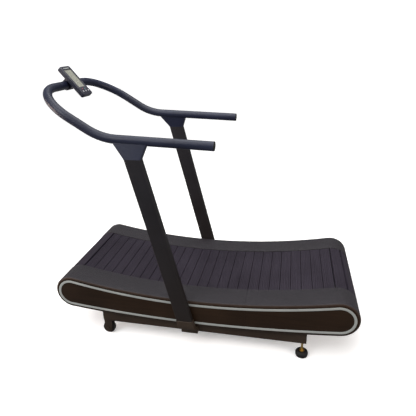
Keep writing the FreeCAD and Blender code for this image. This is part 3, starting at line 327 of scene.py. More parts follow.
# Side panels: dark brown satin sheet with a fine grain along it and a faint orange peel.
def panelPlastic():
    shader = Shader("panelPlastic", Specular_IOR_Level=0.12, Coat_Weight=0.04, Coat_Roughness=0.3)
    where = shader.place()
    grain = shader.noise(shader.place((4, 4, 260)), 1.0, 4, 0.6)
    peel = shader.noise(where, 420, 2)
    cloud = shader.noise(where, 2.2, 3)
    tone = shader.remap(grain * 0.4 + cloud * 0.6, 0.35, 0.65)
    shader.colour(shader.mix(tone, tint(26, 17, 10), tint(44, 31, 21)))
    shader.gloss(grain, 0.4, 0.55)
    shader.bump(peel * 0.5 + grain * 0.5, 0.12 * mm)
    return shader.material


# Accent strip: silver lacquer with fine lines that run along it.
def accentSilver():
    shader = Shader("accentSilver", metallic=0.2)
    lines = shader.noise(shader.place((3, 1400, 1), "UV"), 1.0, 3, 0.6)
    cloud = shader.noise(shader.place(), 7, 3)
    shader.colour(shader.mix(shader.remap(lines * 0.6 + cloud * 0.4, 0.35, 0.65),
                             tint(146, 151, 149), tint(178, 182, 179)))
    shader.gloss(cloud, 0.36, 0.5)
    shader.bump(lines, 0.08 * mm)
    return shader.material


# Sprayed steel: a pebbled skin of small round cells over faint, broad changes of tone, with an
# optional painted floor reflection low down.
def powderCoat(name, dark, light, scuffTone, gloss=(0.4, 0.56), floorReflectionTone=None, **fixed):
    shader = Shader(name, **fixed)
    where = shader.place()
    pebble = shader.cells(where, 620)
    cloud = shader.noise(where, 3, 4, 0.6)
    scuff = shader.remap(shader.noise(shader.place((30, 30, 8)), 1.6, 6, 0.7), 0.62, 0.8, 0, 0.3)
    base = shader.mix(shader.remap(cloud, 0.34, 0.66), dark, light)
    # Painted floor reflection: the colour runs from the given brown tone at a quarter metre up to
    # the plain paint at one metre.
    if floorReflectionTone:
        height = shader.split(where)[2]
        base = shader.mix(shader.remap(height + cloud * 0.2, 0.25, 1.0), floorReflectionTone, base)
    shader.colour(shader.mix(scuff, base, scuffTone))
    shader.gloss(cloud * 0.6 + pebble * 0.4, *gloss)
    shader.bump(1 - pebble, 0.22 * mm)
    return shader.material


# Bare or plated metal: turned or drawn lines, a cloudy tone and small stains.
def metal(name, dark, light, gloss=(0.25, 0.42), lines=(900, 900, 20)):
    shader = Shader(name, metallic=1.0)
    drawn = shader.noise(shader.place(lines), 1.0, 3, 0.6)
    cloud = shader.noise(shader.place(), 30, 5, 0.6)
    shader.colour(shader.mix(shader.remap(drawn * 0.4 + cloud * 0.6, 0.3, 0.7), dark, light))
    shader.gloss(cloud, *gloss)
    shader.bump(drawn, 0.06 * mm)
    return shader.material


# Display: warm grey crystal with faint dot rows and cloudy tone.
def displayFace():
    shader = Shader("displayFace", Coat_Weight=0.4, Coat_Roughness=0.1)
    rows = shader.noise(shader.place((1, 900, 900)), 1.0, 1)
    cloud = shader.noise(shader.place(), 45, 3, 0.6)
    shader.colour(shader.mix(shader.remap(cloud * 0.7 + rows * 0.3, 0.35, 0.65),
                             tint(150, 149, 135), tint(174, 173, 158)))
    shader.gloss(cloud, 0.3, 0.4)
    return shader.material


# Clear cover over the display, with faint wiping marks in its gloss.
def lensGlass():
    shader = Shader("lensGlass", Alpha=0.14, IOR=1.46)
    smear = shader.noise(shader.place((60, 60, 60)), 1.0, 4, 0.6)
    shader.colour(shader.mix(smear, tint(150, 156, 150), tint(175, 180, 175)))
    shader.gloss(smear, 0.05, 0.16)
    return shader.material


finish = {
    "slat": slatRubber(),
    "cover": coverPlastic(),
    "panel": panelPlastic(),
    "accent": accentSilver(),
    # The uprights carry a painted brown floor reflection on their lower part: the tone given after
    # the gloss.
    "upright": powderCoat("uprightPaint", tint(19, 18, 22), tint(29, 28, 33), tint(52, 50, 55),
                          (0.45, 0.62), tint(27, 21, 18), Specular_IOR_Level=0.28),
    "bar": powderCoat("barPaint", tint(19, 23, 41), tint(30, 35, 56), tint(50, 56, 82), (0.36, 0.5),
                      Specular_IOR_Level=0.32),
    "rail": powderCoat("railPaint", tint(40, 31, 24), tint(56, 46, 38), tint(78, 68, 58),
                       Specular_IOR_Level=0.22),
    "rubber": moulded("footRubber", tint(14, 14, 14), tint(24, 24, 24), 700, 0.3 * mm,
                      (0.5, 0.7), 25, Specular_IOR_Level=0.3),
    "belt": moulded("driveBeltRubber", tint(20, 20, 21), tint(32, 32, 33), 500, 0.3 * mm,
                    (0.55, 0.75)),
    "wheel": moulded("wheelPlastic", tint(20, 17, 15), tint(32, 28, 25), 800, 0.2 * mm,
                     (0.4, 0.6), 20, Specular_IOR_Level=0.3),
    "console": moulded("consolePlastic", tint(22, 24, 38), tint(34, 37, 53), 1500, 0.08 * mm,
                       (0.34, 0.5), 18),
    "bezel": moulded("bezelPlastic", tint(32, 33, 45), tint(48, 48, 61), 1500, 0.08 * mm,
                     (0.36, 0.5), 18),
    "button": moulded("buttonRubber", tint(60, 60, 68), tint(80, 80, 88), 1500, 0.1 * mm,
                      (0.45, 0.6), 60),
    "legend": moulded("legendPrint", tint(205, 207, 212), tint(228, 230, 234), 1500, 0.03 * mm,
                      (0.4, 0.55), 90),
    "redLamp": moulded("redLamp", tint(196, 70, 92), tint(222, 104, 122), 1500, 0.03 * mm,
                       (0.2, 0.35), 90),
    "greenLamp": moulded("greenLamp", tint(88, 176, 176), tint(124, 205, 202), 1500, 0.03 * mm,
                         (0.2, 0.35), 90),
    "zinc": metal("yellowZinc", tint(160, 130, 74), tint(208, 182, 122)),
    "steel": metal("groundSteel", tint(112, 112, 116), tint(162, 162, 165)),
    "aluminium": metal("turnedAluminium", tint(150, 150, 153), tint(190, 190, 192), (0.28, 0.45)),
    "display": displayFace(),
    "lens": lensGlass(),
}

cadFinish = {       # ends of the names of the carried-over nodes
    "zinc": ("upright_bolts", "clamp_screws", "foot_stud", "foot_lock_nuts"),
    "rubber": ("foot_pad", "rail_end_caps"),
    "steel": ("guide_bearings", "bearing_pins", "shaft", "shaft_bearings", "belt_tensioners"),
    "aluminium": ("pulleys",),
    "belt": ("drive_belt",),
    "console": ("console_clamp",),
    "display": ("console_display",),
}
for nodeName, node in nodes.items():
    chosen = [key for key, endings in cadFinish.items() if nodeName.endswith(endings)]
    node.data.materials.clear()
    node.data.materials.append(finish[chosen[0] if chosen else "rail"])
print("finishes made:", len(finish))


endSteps, wrapSteps = 48, 14      # points round a nose or tail, and on a cover's closed end
deck = {
    "topRadius": 3.79,              # sag of the running surface
    "wrapX": 0.62,                  # the covers close underneath beyond this
    "seamGap": 0.6 * mm,            # between the front and the rear covers
    "innerY": 233.5 * mm, "outerY": 388 * mm,
    "wall": 3 * mm, "lipDepth": 12 * mm, "edgeRadius": 9.5 * mm, "bandDepth": 30 * mm,
    "lipWall": 2 * mm,              # lip by the slats, rounded by as much
    "seamLipX": 18 * mm, "seamLipSetIn": 24 * mm,       # hidden strip behind the panel joint
    "seamLipY": (2.8 * mm, 0.2 * mm),       # its two faces, inside the outer face
}
shaftMiddle = sum(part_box("front_shaft"), Vector()) / 2
coverLow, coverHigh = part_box("left_front_cover")
endX, endZ, endRadius = shaftMiddle.x, shaftMiddle.z, coverHigh.x - shaftMiddle.x
seamX = coverLow.x - deck["seamGap"] / 2
rise = endZ - coverLow.z
underRadius = (endX ** 2 + rise ** 2 - endRadius ** 2) / (2 * (rise - endRadius))
topCentre = endZ + math.sqrt((deck["topRadius"] + endRadius) ** 2 - endX ** 2)
topAngle = math.asin(endX / (deck["topRadius"] + endRadius))
underAngle = math.asin(endX / (underRadius - endRadius))

# Four arcs that touch: (centre, radius, sign of inset, angle at its start, angle at its end),
# from the rear of the sagging top to the nose, back underneath and round the tail.
deckArcs = {
    "top": ((0, topCentre), deck["topRadius"], 1, -math.pi / 2 - topAngle, -math.pi / 2 + topAngle),
    "nose": ((endX, endZ), endRadius, -1, math.pi / 2 + topAngle, -math.pi / 2 + underAngle),
    "under": ((0, coverLow.z + underRadius), underRadius, -1,
              -math.pi / 2 + underAngle, -math.pi / 2 - underAngle),
    "tail": ((-endX, endZ), endRadius, -1, -math.pi / 2 - underAngle, -3 * math.pi / 2 - topAngle),
}


def angleAt(arc, x):        # where an arc passes x
    return -math.pi / 2 + math.asin(x / deckArcs[arc][1])


# A walk along the arcs, as rows of centre x, centre z, radius, sign, cos and sin of the angle.
def walk(*stretches):
    rows = []
    for arc, start, end, count in stretches:
        centre, radius, sign, first, last = deckArcs[arc]
        angles = np.linspace(first if start is None else start, last if end is None else end, count)
        fixed = np.broadcast_to((*centre, radius, sign), (count, 4))
        rows.append(np.column_stack((fixed, np.cos(angles), np.sin(angles))))
    return np.concatenate([rows[0]] + [row[1:] for row in rows[1:]])


# Points (x, z) of a walk moved inwards: centre + (radius + sign * inset) * (cos a, sin a).
def alongWalk(rows, inset):
    inset = np.asarray(inset, float)
    reach = rows[:, 2, None] + rows[:, 3, None] * inset.reshape(1, -1)
    points = rows[:, None, :2] + reach[..., None] * rows[:, None, 4:]
    return points[:, 0] if inset.ndim == 0 else points


# A closed (y, inset) section carried along a walk: ring points are (x, y, z).
def carry(rows, section, closeRows=False):
    section = np.array(section)
    flat = alongWalk(rows, section[:, 1])
    y = np.broadcast_to(section[:, 0], flat.shape[:2])
    return ringSolid(np.stack((flat[..., 0], y, flat[..., 1]), -1), closeRows)


# Surface map for a carried section: distance along the walk, and distance round the section.
def carriedMap(rows, section):
    section = np.array(section)
    flat = alongWalk(rows, 0.0)
    along = np.concatenate(([0], np.cumsum(np.linalg.norm(np.diff(flat, axis=0), axis=1))))
    around = np.concatenate(([0], np.cumsum(np.linalg.norm(np.diff(section, axis=0), axis=1))))
    return np.stack(np.meshgrid(along, around, indexing="ij"), -1).reshape(-1, 2)


# Quarter circle of the cover section: centre + radius * (cos a, -sin a), as (y, inset) rows.
def quarter(centreY, centreInset, radius, start, steps):
    angles = start + np.linspace(0, math.pi / 2, steps + 1)
    return np.stack((centreY + radius * np.cos(angles),
                     centreInset - radius * np.sin(angles)), -1).tolist()


# Cover wall: lip by the slats, rounded inner corner, flat top, rounded outer edge, side band.
def coverSections():
    innerY, outerY, wall = deck["innerY"], deck["outerY"], deck["wall"]
    edge, lip, band = deck["edgeRadius"], deck["lipDepth"], deck["bandDepth"]
    edgeY = outerY - edge
    outerArc = quarter(edgeY, edge, edge, 0, 8)[::-1]
    innerArc = quarter(edgeY, edge, edge - wall, 0, 5)
    lipWall = deck["lipWall"]
    lipArc = quarter(innerY + lipWall, lipWall, lipWall, math.pi / 2, 3)[::-1]
    side = outerArc + [(outerY, band), (outerY - wall, band)] + innerArc
    full = ([(innerY, lip)] + lipArc + side
            + [(innerY + lipWall, wall), (innerY + lipWall, lip)])
    return full, side


fullSection, sideSection = coverSections()
half = deck["seamGap"] / 2
topSeam, underSeam = ([angleAt(arc, seamX + shift) for shift in (half, -half)]
                      for arc in ("top", "under"))
seamTop = alongWalk(walk(("top", topSeam[0], None, 2)), 0.0)[0, 1]
wrapFront, wrapRear = angleAt("under", deck["wrapX"]), angleAt("under", -deck["wrapX"])
coverWalks = {
    "frontCover": (walk(("top", topSeam[0], None, 110), ("nose", None, None, endSteps),
                        ("under", None, wrapFront, wrapSteps)),
                   walk(("under", wrapFront, underSeam[0], 60))),
    "rearCover": (walk(("under", wrapRear, None, wrapSteps), ("tail", None, None, endSteps),
                       ("top", None, topSeam[1], 60)),
                  walk(("under", underSeam[1], wrapRear, 30))),
}
for name, (wrapped, plain) in coverWalks.items():
    solids = [carry(wrapped, fullSection), carry(plain, sideSection)]
    maps = [carriedMap(wrapped, fullSection), carriedMap(plain, sideSection)]
    if name == "frontCover":        # a lip behind the seam, so that no light comes through
        reach, setIn = deck["seamLipX"], deck["seamLipSetIn"]
        deep, shallow = deck["seamLipY"]
        low = (seamX - reach, deck["outerY"] - deep, coverLow.z + setIn)
        high = (seamX + reach, deck["outerY"] - shallow, seamTop - setIn)
        solids.append(boxBlock(low, high, 0.4 * mm))
        maps.append(np.zeros((len(solids[-1][0]), 2)))
    solid, uv = joinSolids(solids), np.concatenate(maps)
    makePair(name, solid, finish["cover"], uv)
print("covers made")

panel = {"inset": 10 * mm, "low": 388 * mm, "high": 391 * mm, "edge": 1.2 * mm,
         "backEdge": 0.3 * mm}
panelWalks = {
    "frontSidePanel": walk(("top", topSeam[0], None, 110), ("nose", None, None, endSteps),
                           ("under", None, underSeam[0], 80)),
    "rearSidePanel": walk(("under", underSeam[1], None, 60), ("tail", None, None, endSteps),
                          ("top", None, topSeam[1], 60)),
}
for name, rows in panelWalks.items():
    makePair(name, slab(lambda inset: alongWalk(rows, panel["inset"] + inset),
                        edgeLevels(panel["low"], panel["high"], panel["backEdge"], panel["edge"]),
                        standing),
             finish["panel"])

accent = {"inset": 19.5 * mm, "width": 14 * mm, "low": 390.6 * mm, "high": 392.5 * mm,
          "crown": 0.35 * mm, "sideDrop": 0.6 * mm, "bevel": 1 * mm}
wholeWalk = walk(("top", None, None, 160), ("nose", None, None, endSteps),
                 ("under", None, None, 130), ("tail", None, None, endSteps))[:-1]
outside, inside = accent["inset"], accent["inset"] + accent["width"]
shoulder, crownY = accent["high"] - accent["sideDrop"], accent["high"] - accent["crown"]
accentSection = [(accent["low"], outside), (shoulder, outside),
                 (crownY, outside + accent["bevel"]), (accent["high"], (outside + inside) / 2),
                 (crownY, inside - accent["bevel"]), (shoulder, inside), (accent["low"], inside)]
makePair("accentStrip", carry(wholeWalk, accentSection, True), finish["accent"],
         carriedMap(wholeWalk, accentSection))
print("panels and strips made")

slat = {
    "count": 60, "pitchInset": 17.5 * mm, "gap": 3.2 * mm, "faceInset": 3 * mm,
    "thick": 12 * mm, "bevel": 2 * mm, "halfY": 230.5 * mm, "endBevel": 1.5 * mm,
    "tongue": 1.2 * mm, "tongueHigh": 3 * mm,       # narrows the gap low down, against light
    "grooves": 5, "grooveDepth": 1.3 * mm, "grooveHalf": 1.5 * mm,
    "ribWidth": 5 * mm, "ribDepth": 16 * mm, "ribY": 178 * mm, "ribBevel": 0.8 * mm,
    "topSteps": 1200, "roundSteps": 300,        # points on the pitch line
}


# Places of the slats: equal steps along the closed pitch line, with one at the top's middle.
# Each gives a turn matrix whose columns are tangent, width and outward normal.
def slatPlaces():
    long, short = slat["topSteps"], slat["roundSteps"]
    rows = walk(("top", None, None, long), ("nose", None, None, short),
                ("under", None, None, long), ("tail", None, None, short))
    path = alongWalk(rows, slat["pitchInset"])
    along = np.concatenate(([0], np.cumsum(np.linalg.norm(np.diff(path, axis=0), axis=1))))
    total = along[-1]
    start = along[long // 2 - 1] / 2 + along[long // 2] / 2
    wanted = (start + total * np.arange(slat["count"]) / slat["count"]) % total
    middle = np.stack([np.interp(wanted, along, path[:, k]) for k in (0, 1)], -1)
    ahead = np.stack([np.interp((wanted + mm) % total, along, path[:, k]) for k in (0, 1)], -1)
    behind = np.stack([np.interp((wanted - mm) % total, along, path[:, k]) for k in (0, 1)], -1)
    tangent = ahead - behind
    tangent /= np.linalg.norm(tangent, axis=1, keepdims=True)
    zero, one = np.zeros(len(tangent)), np.ones(len(tangent))
    turns = np.stack((np.stack((tangent[:, 0], zero, tangent[:, 1]), -1),
                      np.stack((zero, one, zero), -1),
                      np.stack((-tangent[:, 1], zero, tangent[:, 0]), -1)), -1)
    return total / slat["count"], turns, np.stack((middle[:, 0], zero, middle[:, 1]), -1)


# Slat section (x, height over the pitch line): bevelled bar with V grooves in its face and a
# tongue along both lower sides.
def slatSection(halfWidth):
    top = slat["pitchInset"] - slat["faceInset"]
    low, bevel = top - slat["thick"], slat["bevel"]
    tongue, step = slat["tongue"], low + slat["tongueHigh"]
    shoulder = (halfWidth - 0.6 * bevel, top - 0.3 * bevel)     # softens the bevel
    flatEnd = halfWidth - 1.6 * bevel
    points = [(-halfWidth, step), (-halfWidth - tongue, step),
              (-halfWidth - tongue, low), (halfWidth + tongue, low),
              (halfWidth + tongue, step), (halfWidth, step),
              (halfWidth, top - bevel), shoulder, (flatEnd, top)]
    spacing = 2 * halfWidth / (slat["grooves"] + 1)
    for k in range(slat["grooves"]):
        x = halfWidth - spacing * (k + 1)
        points += [(x + slat["grooveHalf"], top), (x, top - slat["grooveDepth"]),
                   (x - slat["grooveHalf"], top)]
    return np.array(points + [(-flatEnd, top), (-shoulder[0], shoulder[1]),
                              (-halfWidth, top - bevel)])


# One slat is its section at four places across, smaller at both ends, plus a rib below. The
# belt is that slat repeated round the loop.
def makeSlats():
    pitch, turns, shifts = slatPlaces()
    section = slatSection((pitch - slat["gap"]) / 2)
    middle = section.mean(axis=0)
    endY, endBevel = slat["halfY"], slat["endBevel"]
    rings = []
    size = np.array((pitch / 2, slat["thick"] / 2))
    for y, shrink in ((-endY, endBevel), (-endY + endBevel, 0),
                      (endY - endBevel, 0), (endY, endBevel)):
        rings.append(standing(middle + (section - middle) * (1 - shrink / size), y))
    bar = ringSolid(np.stack(rings))
    ribTop = slat["pitchInset"] - slat["faceInset"] - slat["thick"] + 0.5 * mm
    rib = boxBlock((-slat["ribWidth"] / 2, -slat["ribY"], ribTop - slat["ribDepth"]),
                   (slat["ribWidth"] / 2, slat["ribY"], ribTop), slat["ribBevel"])
    makePiece("beltSlats", repeatSolid(joinSolids([bar, rib]), turns, shifts), finish["slat"],
              "frame", ("belt_slats",), 20)


makeSlats()
print("slats made")

upright = {
    "low": 119 * mm, "top": 1138 * mm, "lowX": 46 * mm, "lowZ": 118 * mm, "topX": 286 * mm,
    "inSocket": 3 * mm,         # the post's lower end over the socket's
    "halfX": 45.5 * mm, "corner": 6 * mm, "innerY": 394 * mm, "outerY": 430 * mm, "mitre": 0.85,
}
socket = {
    "halfX": 48.5 * mm, "outerY": 433 * mm, "top": 202 * mm, "bevel": 1 * mm,
    "armLowY": 369 * mm, "armHighY": 397 * mm, "armLow": 100 * mm, "armHigh": 144 * mm,
    "armEdge": 1.5 * mm, "corner": 8 * mm, "levelAt": 180 * mm,
}
lean = (upright["topX"] - upright["lowX"]) / (upright["top"] - upright["lowZ"])


# Leaning post: level rounded rectangles whose middle moves forward with height, and a lower
# end that slants up outwards. levels are (inset, height), and the slant moves the first two.
def leaningPost(halfX, lowY, highY, corner, levels):
    middleY, halfY = (lowY + highY) / 2, (highY - lowY) / 2
    rings = []
    for row, (inset, height) in enumerate(levels):
        flat = roundedRectangle(halfX, halfY, corner, inset)
        flat[:, 1] += middleY
        z = np.full(len(flat), height)
        if row < 2:
            z = z + upright["mitre"] * (flat[:, 1] - upright["innerY"])
        x = flat[:, 0] + upright["lowX"] + lean * (z - upright["lowZ"])
        rings.append(np.stack((x, flat[:, 1], z), -1))
    return ringSolid(np.stack(rings))


postLow, bevel = upright["low"] + upright["inSocket"], socket["bevel"]
post = leaningPost(upright["halfX"], upright["innerY"], upright["outerY"], upright["corner"],
                   [(0, postLow), (0, postLow + 1 * mm), (0, 400 * mm), (0, 800 * mm),
                    (0, upright["top"])])
makePair("upright", post, finish["upright"])
sleeve = leaningPost(socket["halfX"], upright["innerY"], socket["outerY"], socket["corner"],
                     [(bevel, upright["low"]), (0, upright["low"] + bevel),
                      (0, socket["levelAt"]), (0, socket["top"] - bevel), (bevel, socket["top"])])
arm = boxBlock((upright["lowX"] - socket["halfX"], socket["armLowY"], socket["armLow"]),
               (upright["lowX"] + socket["halfX"], socket["armHighY"], socket["armHigh"]),
               socket["armEdge"])
makePair("uprightSocket", joinSolids([sleeve, arm]), finish["rail"])
print("uprights made")

bar = {
    "radius": 23.5 * mm, "sides": 40,
    "corners": np.array(((-118, 388, 1204.5), (457, 388, 1235), (811, 388, 1459),
                         (811, -388, 1459), (457, -388, 1235), (-118, -388, 1204.5))) * mm,
    "bends": np.array((316, 230, 230, 316)) * mm,
    "capProfile": np.array(((0.5, -3), (21, -3), (21, 0), (23.5, 0), (23.5, 2.2), (22.8, 3.3),
                            (20.5, 4.1), (15, 4.7), (8, 4.95), (0.5, 5))) * mm,
}


def unit(vectors):          # each row divided by its length
    return vectors / np.linalg.norm(vectors, axis=-1, keepdims=True)


# Path of straight runs and round bends. A bend starts radius * tan(half the turn) before its
# corner: start + radius * (sin a * incoming + (1 - cos a) * sideways).
def roundedPath(corners, bends, steps=22):
    points, directions = [corners[0]], []
    runs = unit(np.diff(corners, axis=0))
    directions.append(runs[0])
    for corner, radius, before, after in zip(corners[1:-1], bends, runs[:-1], runs[1:]):
        turn = math.acos(float(np.dot(before, after)))
        sideways = unit(after - before * np.dot(before, after))
        angles = np.linspace(0, turn, steps + 1)[:, None]
        start = corner - before * radius * math.tan(turn / 2)
        points.extend(start + radius * (np.sin(angles) * before + (1 - np.cos(angles)) * sideways))
        directions.extend(np.cos(angles) * before + np.sin(angles) * sideways)
    return np.array(points + [corners[-1]]), unit(np.array(directions + [runs[-1]]))


# Tube: at each path point, centre + radius * (cos a * across + sin a * up), where across is
# the path's direction crossed with the vertical.
def tube(points, directions, radius, sides):
    across = unit(np.cross(directions, (0, 0, 1)))
    up = np.cross(across, directions)
    angles = np.linspace(0, fullTurn, sides, endpoint=False)[None, :, None]
    circle = np.cos(angles) * across[:, None] + np.sin(angles) * up[:, None]
    return ringSolid(points[:, None] + radius * circle)


barPoints, barDirections = roundedPath(bar["corners"], bar["bends"])
makePiece("handlebarTube", tube(barPoints, barDirections, bar["radius"], bar["sides"]),
          finish["bar"], "frame", ("handlebar_tube",))
cap = lathe(bar["capProfile"], bar["corners"][0], -barDirections[0])
makePiece("handlebarEndCaps", joinSolids([cap, mirrored(cap)]), finish["rubber"],
          "frame", ("handlebar_end_caps",))

gusset = {"rear": 207 * mm, "front": 405 * mm, "narrow": 2.5 * mm, "steps": 12}


# Gusset: rounded rectangles that blend from the upright's top section to the bar's middle
# line, start + share * (end - start), point by point.
def makeGusset():
    middleY = (upright["outerY"] + upright["innerY"]) / 2
    halfY = (upright["outerY"] - upright["innerY"]) / 2
    low = roundedRectangle(upright["halfX"], halfY, upright["corner"])
    low = lying(low + (upright["topX"], middleY), upright["top"])
    rearEnd, knee = bar["corners"][:2]
    high = roundedRectangle((gusset["front"] - gusset["rear"]) / 2, halfY - gusset["narrow"],
                            upright["corner"])
    high = high + ((gusset["front"] + gusset["rear"]) / 2, rearEnd[1])
    slope = (knee[2] - rearEnd[2]) / (knee[0] - rearEnd[0])
    highZ = rearEnd[2] + slope * (high[:, 0] - rearEnd[0])
    high = np.column_stack((high, highZ))
    share = np.linspace(0, 1, gusset["steps"])[:, None, None]
    return ringSolid(low + share * (high - low))


makePair("gusset", makeGusset(), finish["bar"])
print("handlebar made")

console = {
    "turn": 50, "pivot": (0.811, 0, 1.459), "lowX": -119 * mm, "highX": 85.5 * mm,
    "halfY": 53.5 * mm, "corner": 11 * mm, "back": 31 * mm, "backEdge": 5 * mm,
    "seam": 54.5 * mm, "face": 57.5 * mm,
    "windowLow": -63 * mm, "windowHigh": 60 * mm, "windowHalf": 36 * mm, "windowCorner": 4 * mm,
    "lensLow": 54.9 * mm, "lensHigh": 56.7 * mm, "lensGap": 0.2 * mm,
    "buttonX": -94 * mm, "buttonRadius": 7 * mm, "buttonTop": 59.1 * mm,
    "markHalf": (3 * mm, 3.6 * mm), "lampHalf": (2.2 * mm, 3 * mm),
    "lamps": {"redLamp": (-77.5 * mm, 15 * mm), "greenLamp": (-79 * mm, -11 * mm)},
    "headerX": 70 * mm, "headerHalf": (2.6 * mm, 30 * mm),
}
consoleTurn = math.radians(console["turn"])
consoleAxes = np.array(((math.cos(consoleTurn), 0, math.sin(consoleTurn)), (0, 1, 0),
                        (-math.sin(consoleTurn), 0, math.cos(consoleTurn))))


def onConsole(points, height):      # flat points along the case and across it, height out of it
    return np.array(console["pivot"]) + lying(points, height) @ consoleAxes


# Slab with rounded corners on the console: its middle, half sizes, corner radius and levels.
def onFace(middleX, middleY, halfX, halfY, corner, levels):
    return slab(lambda inset: roundedRectangle(halfX, halfY, corner, inset) + (middleX, middleY),
                levels, onConsole)


# Shell, a bezel ring round the window, lens, three dished buttons with marks, two lamps and
# a header strip.
def makeConsole():
    caseX = (console["lowX"] + console["highX"]) / 2
    caseHalf = (console["highX"] - console["lowX"]) / 2
    windowX = (console["windowLow"] + console["windowHigh"]) / 2
    windowHalf = (console["windowHigh"] - console["windowLow"]) / 2
    shell = onFace(caseX, 0, caseHalf, console["halfY"], console["corner"],
                   edgeLevels(console["back"], console["seam"] - 0.3 * mm, console["backEdge"],
                              0.4 * mm, 5))
    makePiece("consoleBackShell", shell, finish["console"], "console",
              ("console_back_shell",))
    seam, face = console["seam"], console["face"]
    outer = [(0, seam), (0, face - 1.8 * mm), (0.6 * mm, face - 0.6 * mm), (1.8 * mm, face)]
    inner = [(-1.4 * mm, face), (-0.4 * mm, face - 0.5 * mm), (0, face - 1.2 * mm), (0, seam)]
    rings = [onConsole(roundedRectangle(caseHalf, console["halfY"], console["corner"], inset)
                       + (caseX, 0), height) for inset, height in outer]
    rings += [onConsole(roundedRectangle(windowHalf, console["windowHalf"],
                                         console["windowCorner"], inset)
                        + (windowX, 0), height) for inset, height in inner]
    makePiece("consoleBezel", ringSolid(np.stack(rings), True), finish["bezel"], "console",
              ("console_bezel",))
    gap = console["lensGap"]
    lens = onFace(windowX, 0, windowHalf - gap, console["windowHalf"] - gap,
                  console["windowCorner"] - gap,
                  edgeLevels(console["lensLow"], console["lensHigh"], 0.1 * mm, 0.5 * mm))
    makePiece("consoleLens", lens, finish["lens"], "console", ("console_lens",))
    top, radius = console["buttonTop"], console["buttonRadius"]
    profile = [(0.2 * mm, top - 6 * mm), (radius, top - 6 * mm), (radius, top - 1.4 * mm),
               (radius - 0.5 * mm, top - 0.6 * mm), (radius - 1.6 * mm, top - 0.25 * mm),
               (radius - 2.4 * mm, top - 0.45 * mm), (0.2 * mm, top - 0.45 * mm)]
    for number in (1, 2, 3):
        place = sum(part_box("console_button_%d" % number), Vector()) / 2
        y = round(place.y, 4)
        centre = onConsole(np.array([(console["buttonX"], y)]), 0.0)[0]
        body = "button_%d" % number
        makePiece("consoleButton%d" % number, lathe(profile, centre, consoleAxes[2], 32),
                  finish["button"], body, ("console_button_%d" % number,))
        mark = onFace(console["buttonX"], y, *console["markHalf"], 1 * mm,
                      [(0, top - 0.5 * mm), (0, top - 0.1 * mm)])
        makePiece("buttonMark%d" % number, mark, finish["legend"], body)
    for name, (x, y) in console["lamps"].items():
        lamp = onFace(x, y, *console["lampHalf"], 2 * mm,
                      [(0, face - 1 * mm), (0, face + 0.3 * mm), (0.5 * mm, face + 0.7 * mm)])
        makePiece(name, lamp, finish[name], "console")
    strip = onFace(console["headerX"], 0, *console["headerHalf"], 1.5 * mm,
                   [(0, face - 0.5 * mm), (0, face + 0.15 * mm)])
    makePiece("headerStrip", strip, finish["accent"], "console")


makeConsole()
print("console made")

wheel = {       # rows of radius and place along the axle, in millimetres
    "profile": ((5.2, -14.5), (11, -14.5), (11.5, -13.8), (12, -10.5), (29.5, -10.5), (30.5, -13.5),
                (31.2, -14.5), (34.6, -14.5), (36.4, -13.2), (37.3, -10.5), (37.5, -6), (37.5, 6),
                (37.3, 10.5), (36.4, 13.2), (34.6, 14.5), (31.2, 14.5), (30.5, 13.5), (29.5, 10.5),
                (12, 10.5), (11.5, 13.8), (11, 14.5), (5.2, 14.5)),
}
wheelMiddle = sum(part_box("left_transport_wheel"), Vector()) / 2
wheelSolid = lathe(np.array(wheel["profile"]) * mm, wheelMiddle, (0, 1, 0), 56, True)
makePair("transportWheel", wheelSolid, finish["wheel"],
         bodies=("left_wheel", "right_wheel"))
print("wheels made")

lights = {      # place, size in metres, watts, colour
    "keySoft": ((2.6, 3.4, 3.6), 2.6, 105, (1.0, 1.0, 1.0)),
    "frontGlow": ((3.6, 0.9, 1.0), 1.6, 70, (1.0, 0.8, 0.72)),
    "rearGlow": ((-3.2, 1.8, 1.6), 1.8, 55, (1.0, 0.88, 0.8)),
    "topGlow": ((0.2, -0.6, 3.6), 2.4, 60, (1.0, 1.0, 1.0)),
}
softSun = {"strength": 1.7, "spread": 60, "turn": (-18, 14, 0)}     # angles in degrees
worldStrength = 0.27
camera = {"place": (-0.468, 2.252, 1.672), "tilt": 68.07, "roll": 2.03, "heading": 192.71,
          "lens": 35.36, "sensor": 36, "shift": (0.0289, -0.0074)}


# Pale surfaces that light nothing: only the camera sees them.
def cameraOnly(piece):
    piece.visible_diffuse = piece.visible_glossy = piece.visible_transmission = False


def plainObject(name, mesh, material):
    mesh.materials.append(material)
    piece = bpy.data.objects.new(name, mesh)
    bpy.context.scene.collection.objects.link(piece)
    return piece


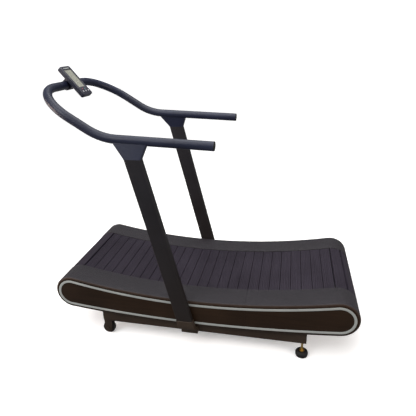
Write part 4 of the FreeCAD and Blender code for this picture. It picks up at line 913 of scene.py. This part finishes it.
def makeStage(reach=14.0, domeRadius=30.0):
    plane = bpy.data.meshes.new("floor")
    plane.from_pydata([(-reach, -reach, 0), (reach, -reach, 0), (reach, reach, 0),
                       (-reach, reach, 0)], [], [(0, 1, 2, 3)])
    shader = Shader("paleFloor", 0.9, Specular_IOR_Level=0.0, Emission_Strength=0.3)
    shader.feed(shader.surface.inputs["Emission Color"], (1, 1, 1, 1))
    grain = shader.noise(shader.place(), 3, 3)
    shader.colour(shader.mix(grain, tint(244, 244, 244), tint(250, 250, 250)))
    cameraOnly(plainObject("floor", plane, shader.material))

    sky = bpy.data.meshes.new("backdrop")
    angles = np.linspace(-math.pi / 2, math.pi / 2, 24)
    profile = np.stack((np.cos(angles), np.sin(angles)), -1) * domeRadius
    points, faces = lathe(profile, (0, 0, 0), (0, 0, 1), 48)
    sky.from_pydata(points.tolist(), [], faces)
    glow = Shader("paleBackdrop", 1.0, Emission_Strength=1.0, Specular_IOR_Level=0.0)
    glow.feed(glow.surface.inputs["Emission Color"], tint(252, 252, 252))
    backdrop = plainObject("backdrop", sky, glow.material)
    backdrop.visible_shadow = False
    cameraOnly(backdrop)


def makeLights():
    world = bpy.data.worlds.new("studio")
    world.use_nodes = True
    background = world.node_tree.nodes["Background"]
    background.inputs["Color"].default_value = (1, 1, 1, 1)
    background.inputs["Strength"].default_value = worldStrength
    bpy.context.scene.world = world
    aim = Vector((0, 0, 0.5))
    for name, (place, size, power, colour) in lights.items():
        lamp = bpy.data.lights.new(name, "AREA")
        lamp.size, lamp.energy, lamp.color = size, power, colour
        holder = bpy.data.objects.new(name, lamp)
        holder.location = place
        holder.rotation_euler = (aim - Vector(place)).to_track_quat("-Z", "Y").to_euler()
        bpy.context.scene.collection.objects.link(holder)
    sun = bpy.data.lights.new("softSun", "SUN")
    sun.energy, sun.angle = softSun["strength"], math.radians(softSun["spread"])
    holder = bpy.data.objects.new("softSun", sun)
    holder.rotation_euler = Euler([math.radians(angle) for angle in softSun["turn"]])
    bpy.context.scene.collection.objects.link(holder)


def makeCamera():
    lens = bpy.data.cameras.new("camera")
    lens.lens, lens.sensor_width = camera["lens"], camera["sensor"]
    lens.shift_x, lens.shift_y = camera["shift"]
    holder = bpy.data.objects.new("camera", lens)
    angles = [math.radians(camera[key]) for key in ("tilt", "roll", "heading")]
    holder.location, holder.rotation_euler = camera["place"], Euler(angles)
    bpy.context.scene.collection.objects.link(holder)
    bpy.context.scene.camera = holder


makeStage()
makeLights()
makeCamera()
bpy.context.scene.view_settings.view_transform = "Standard"
print("stage, lights and camera made")
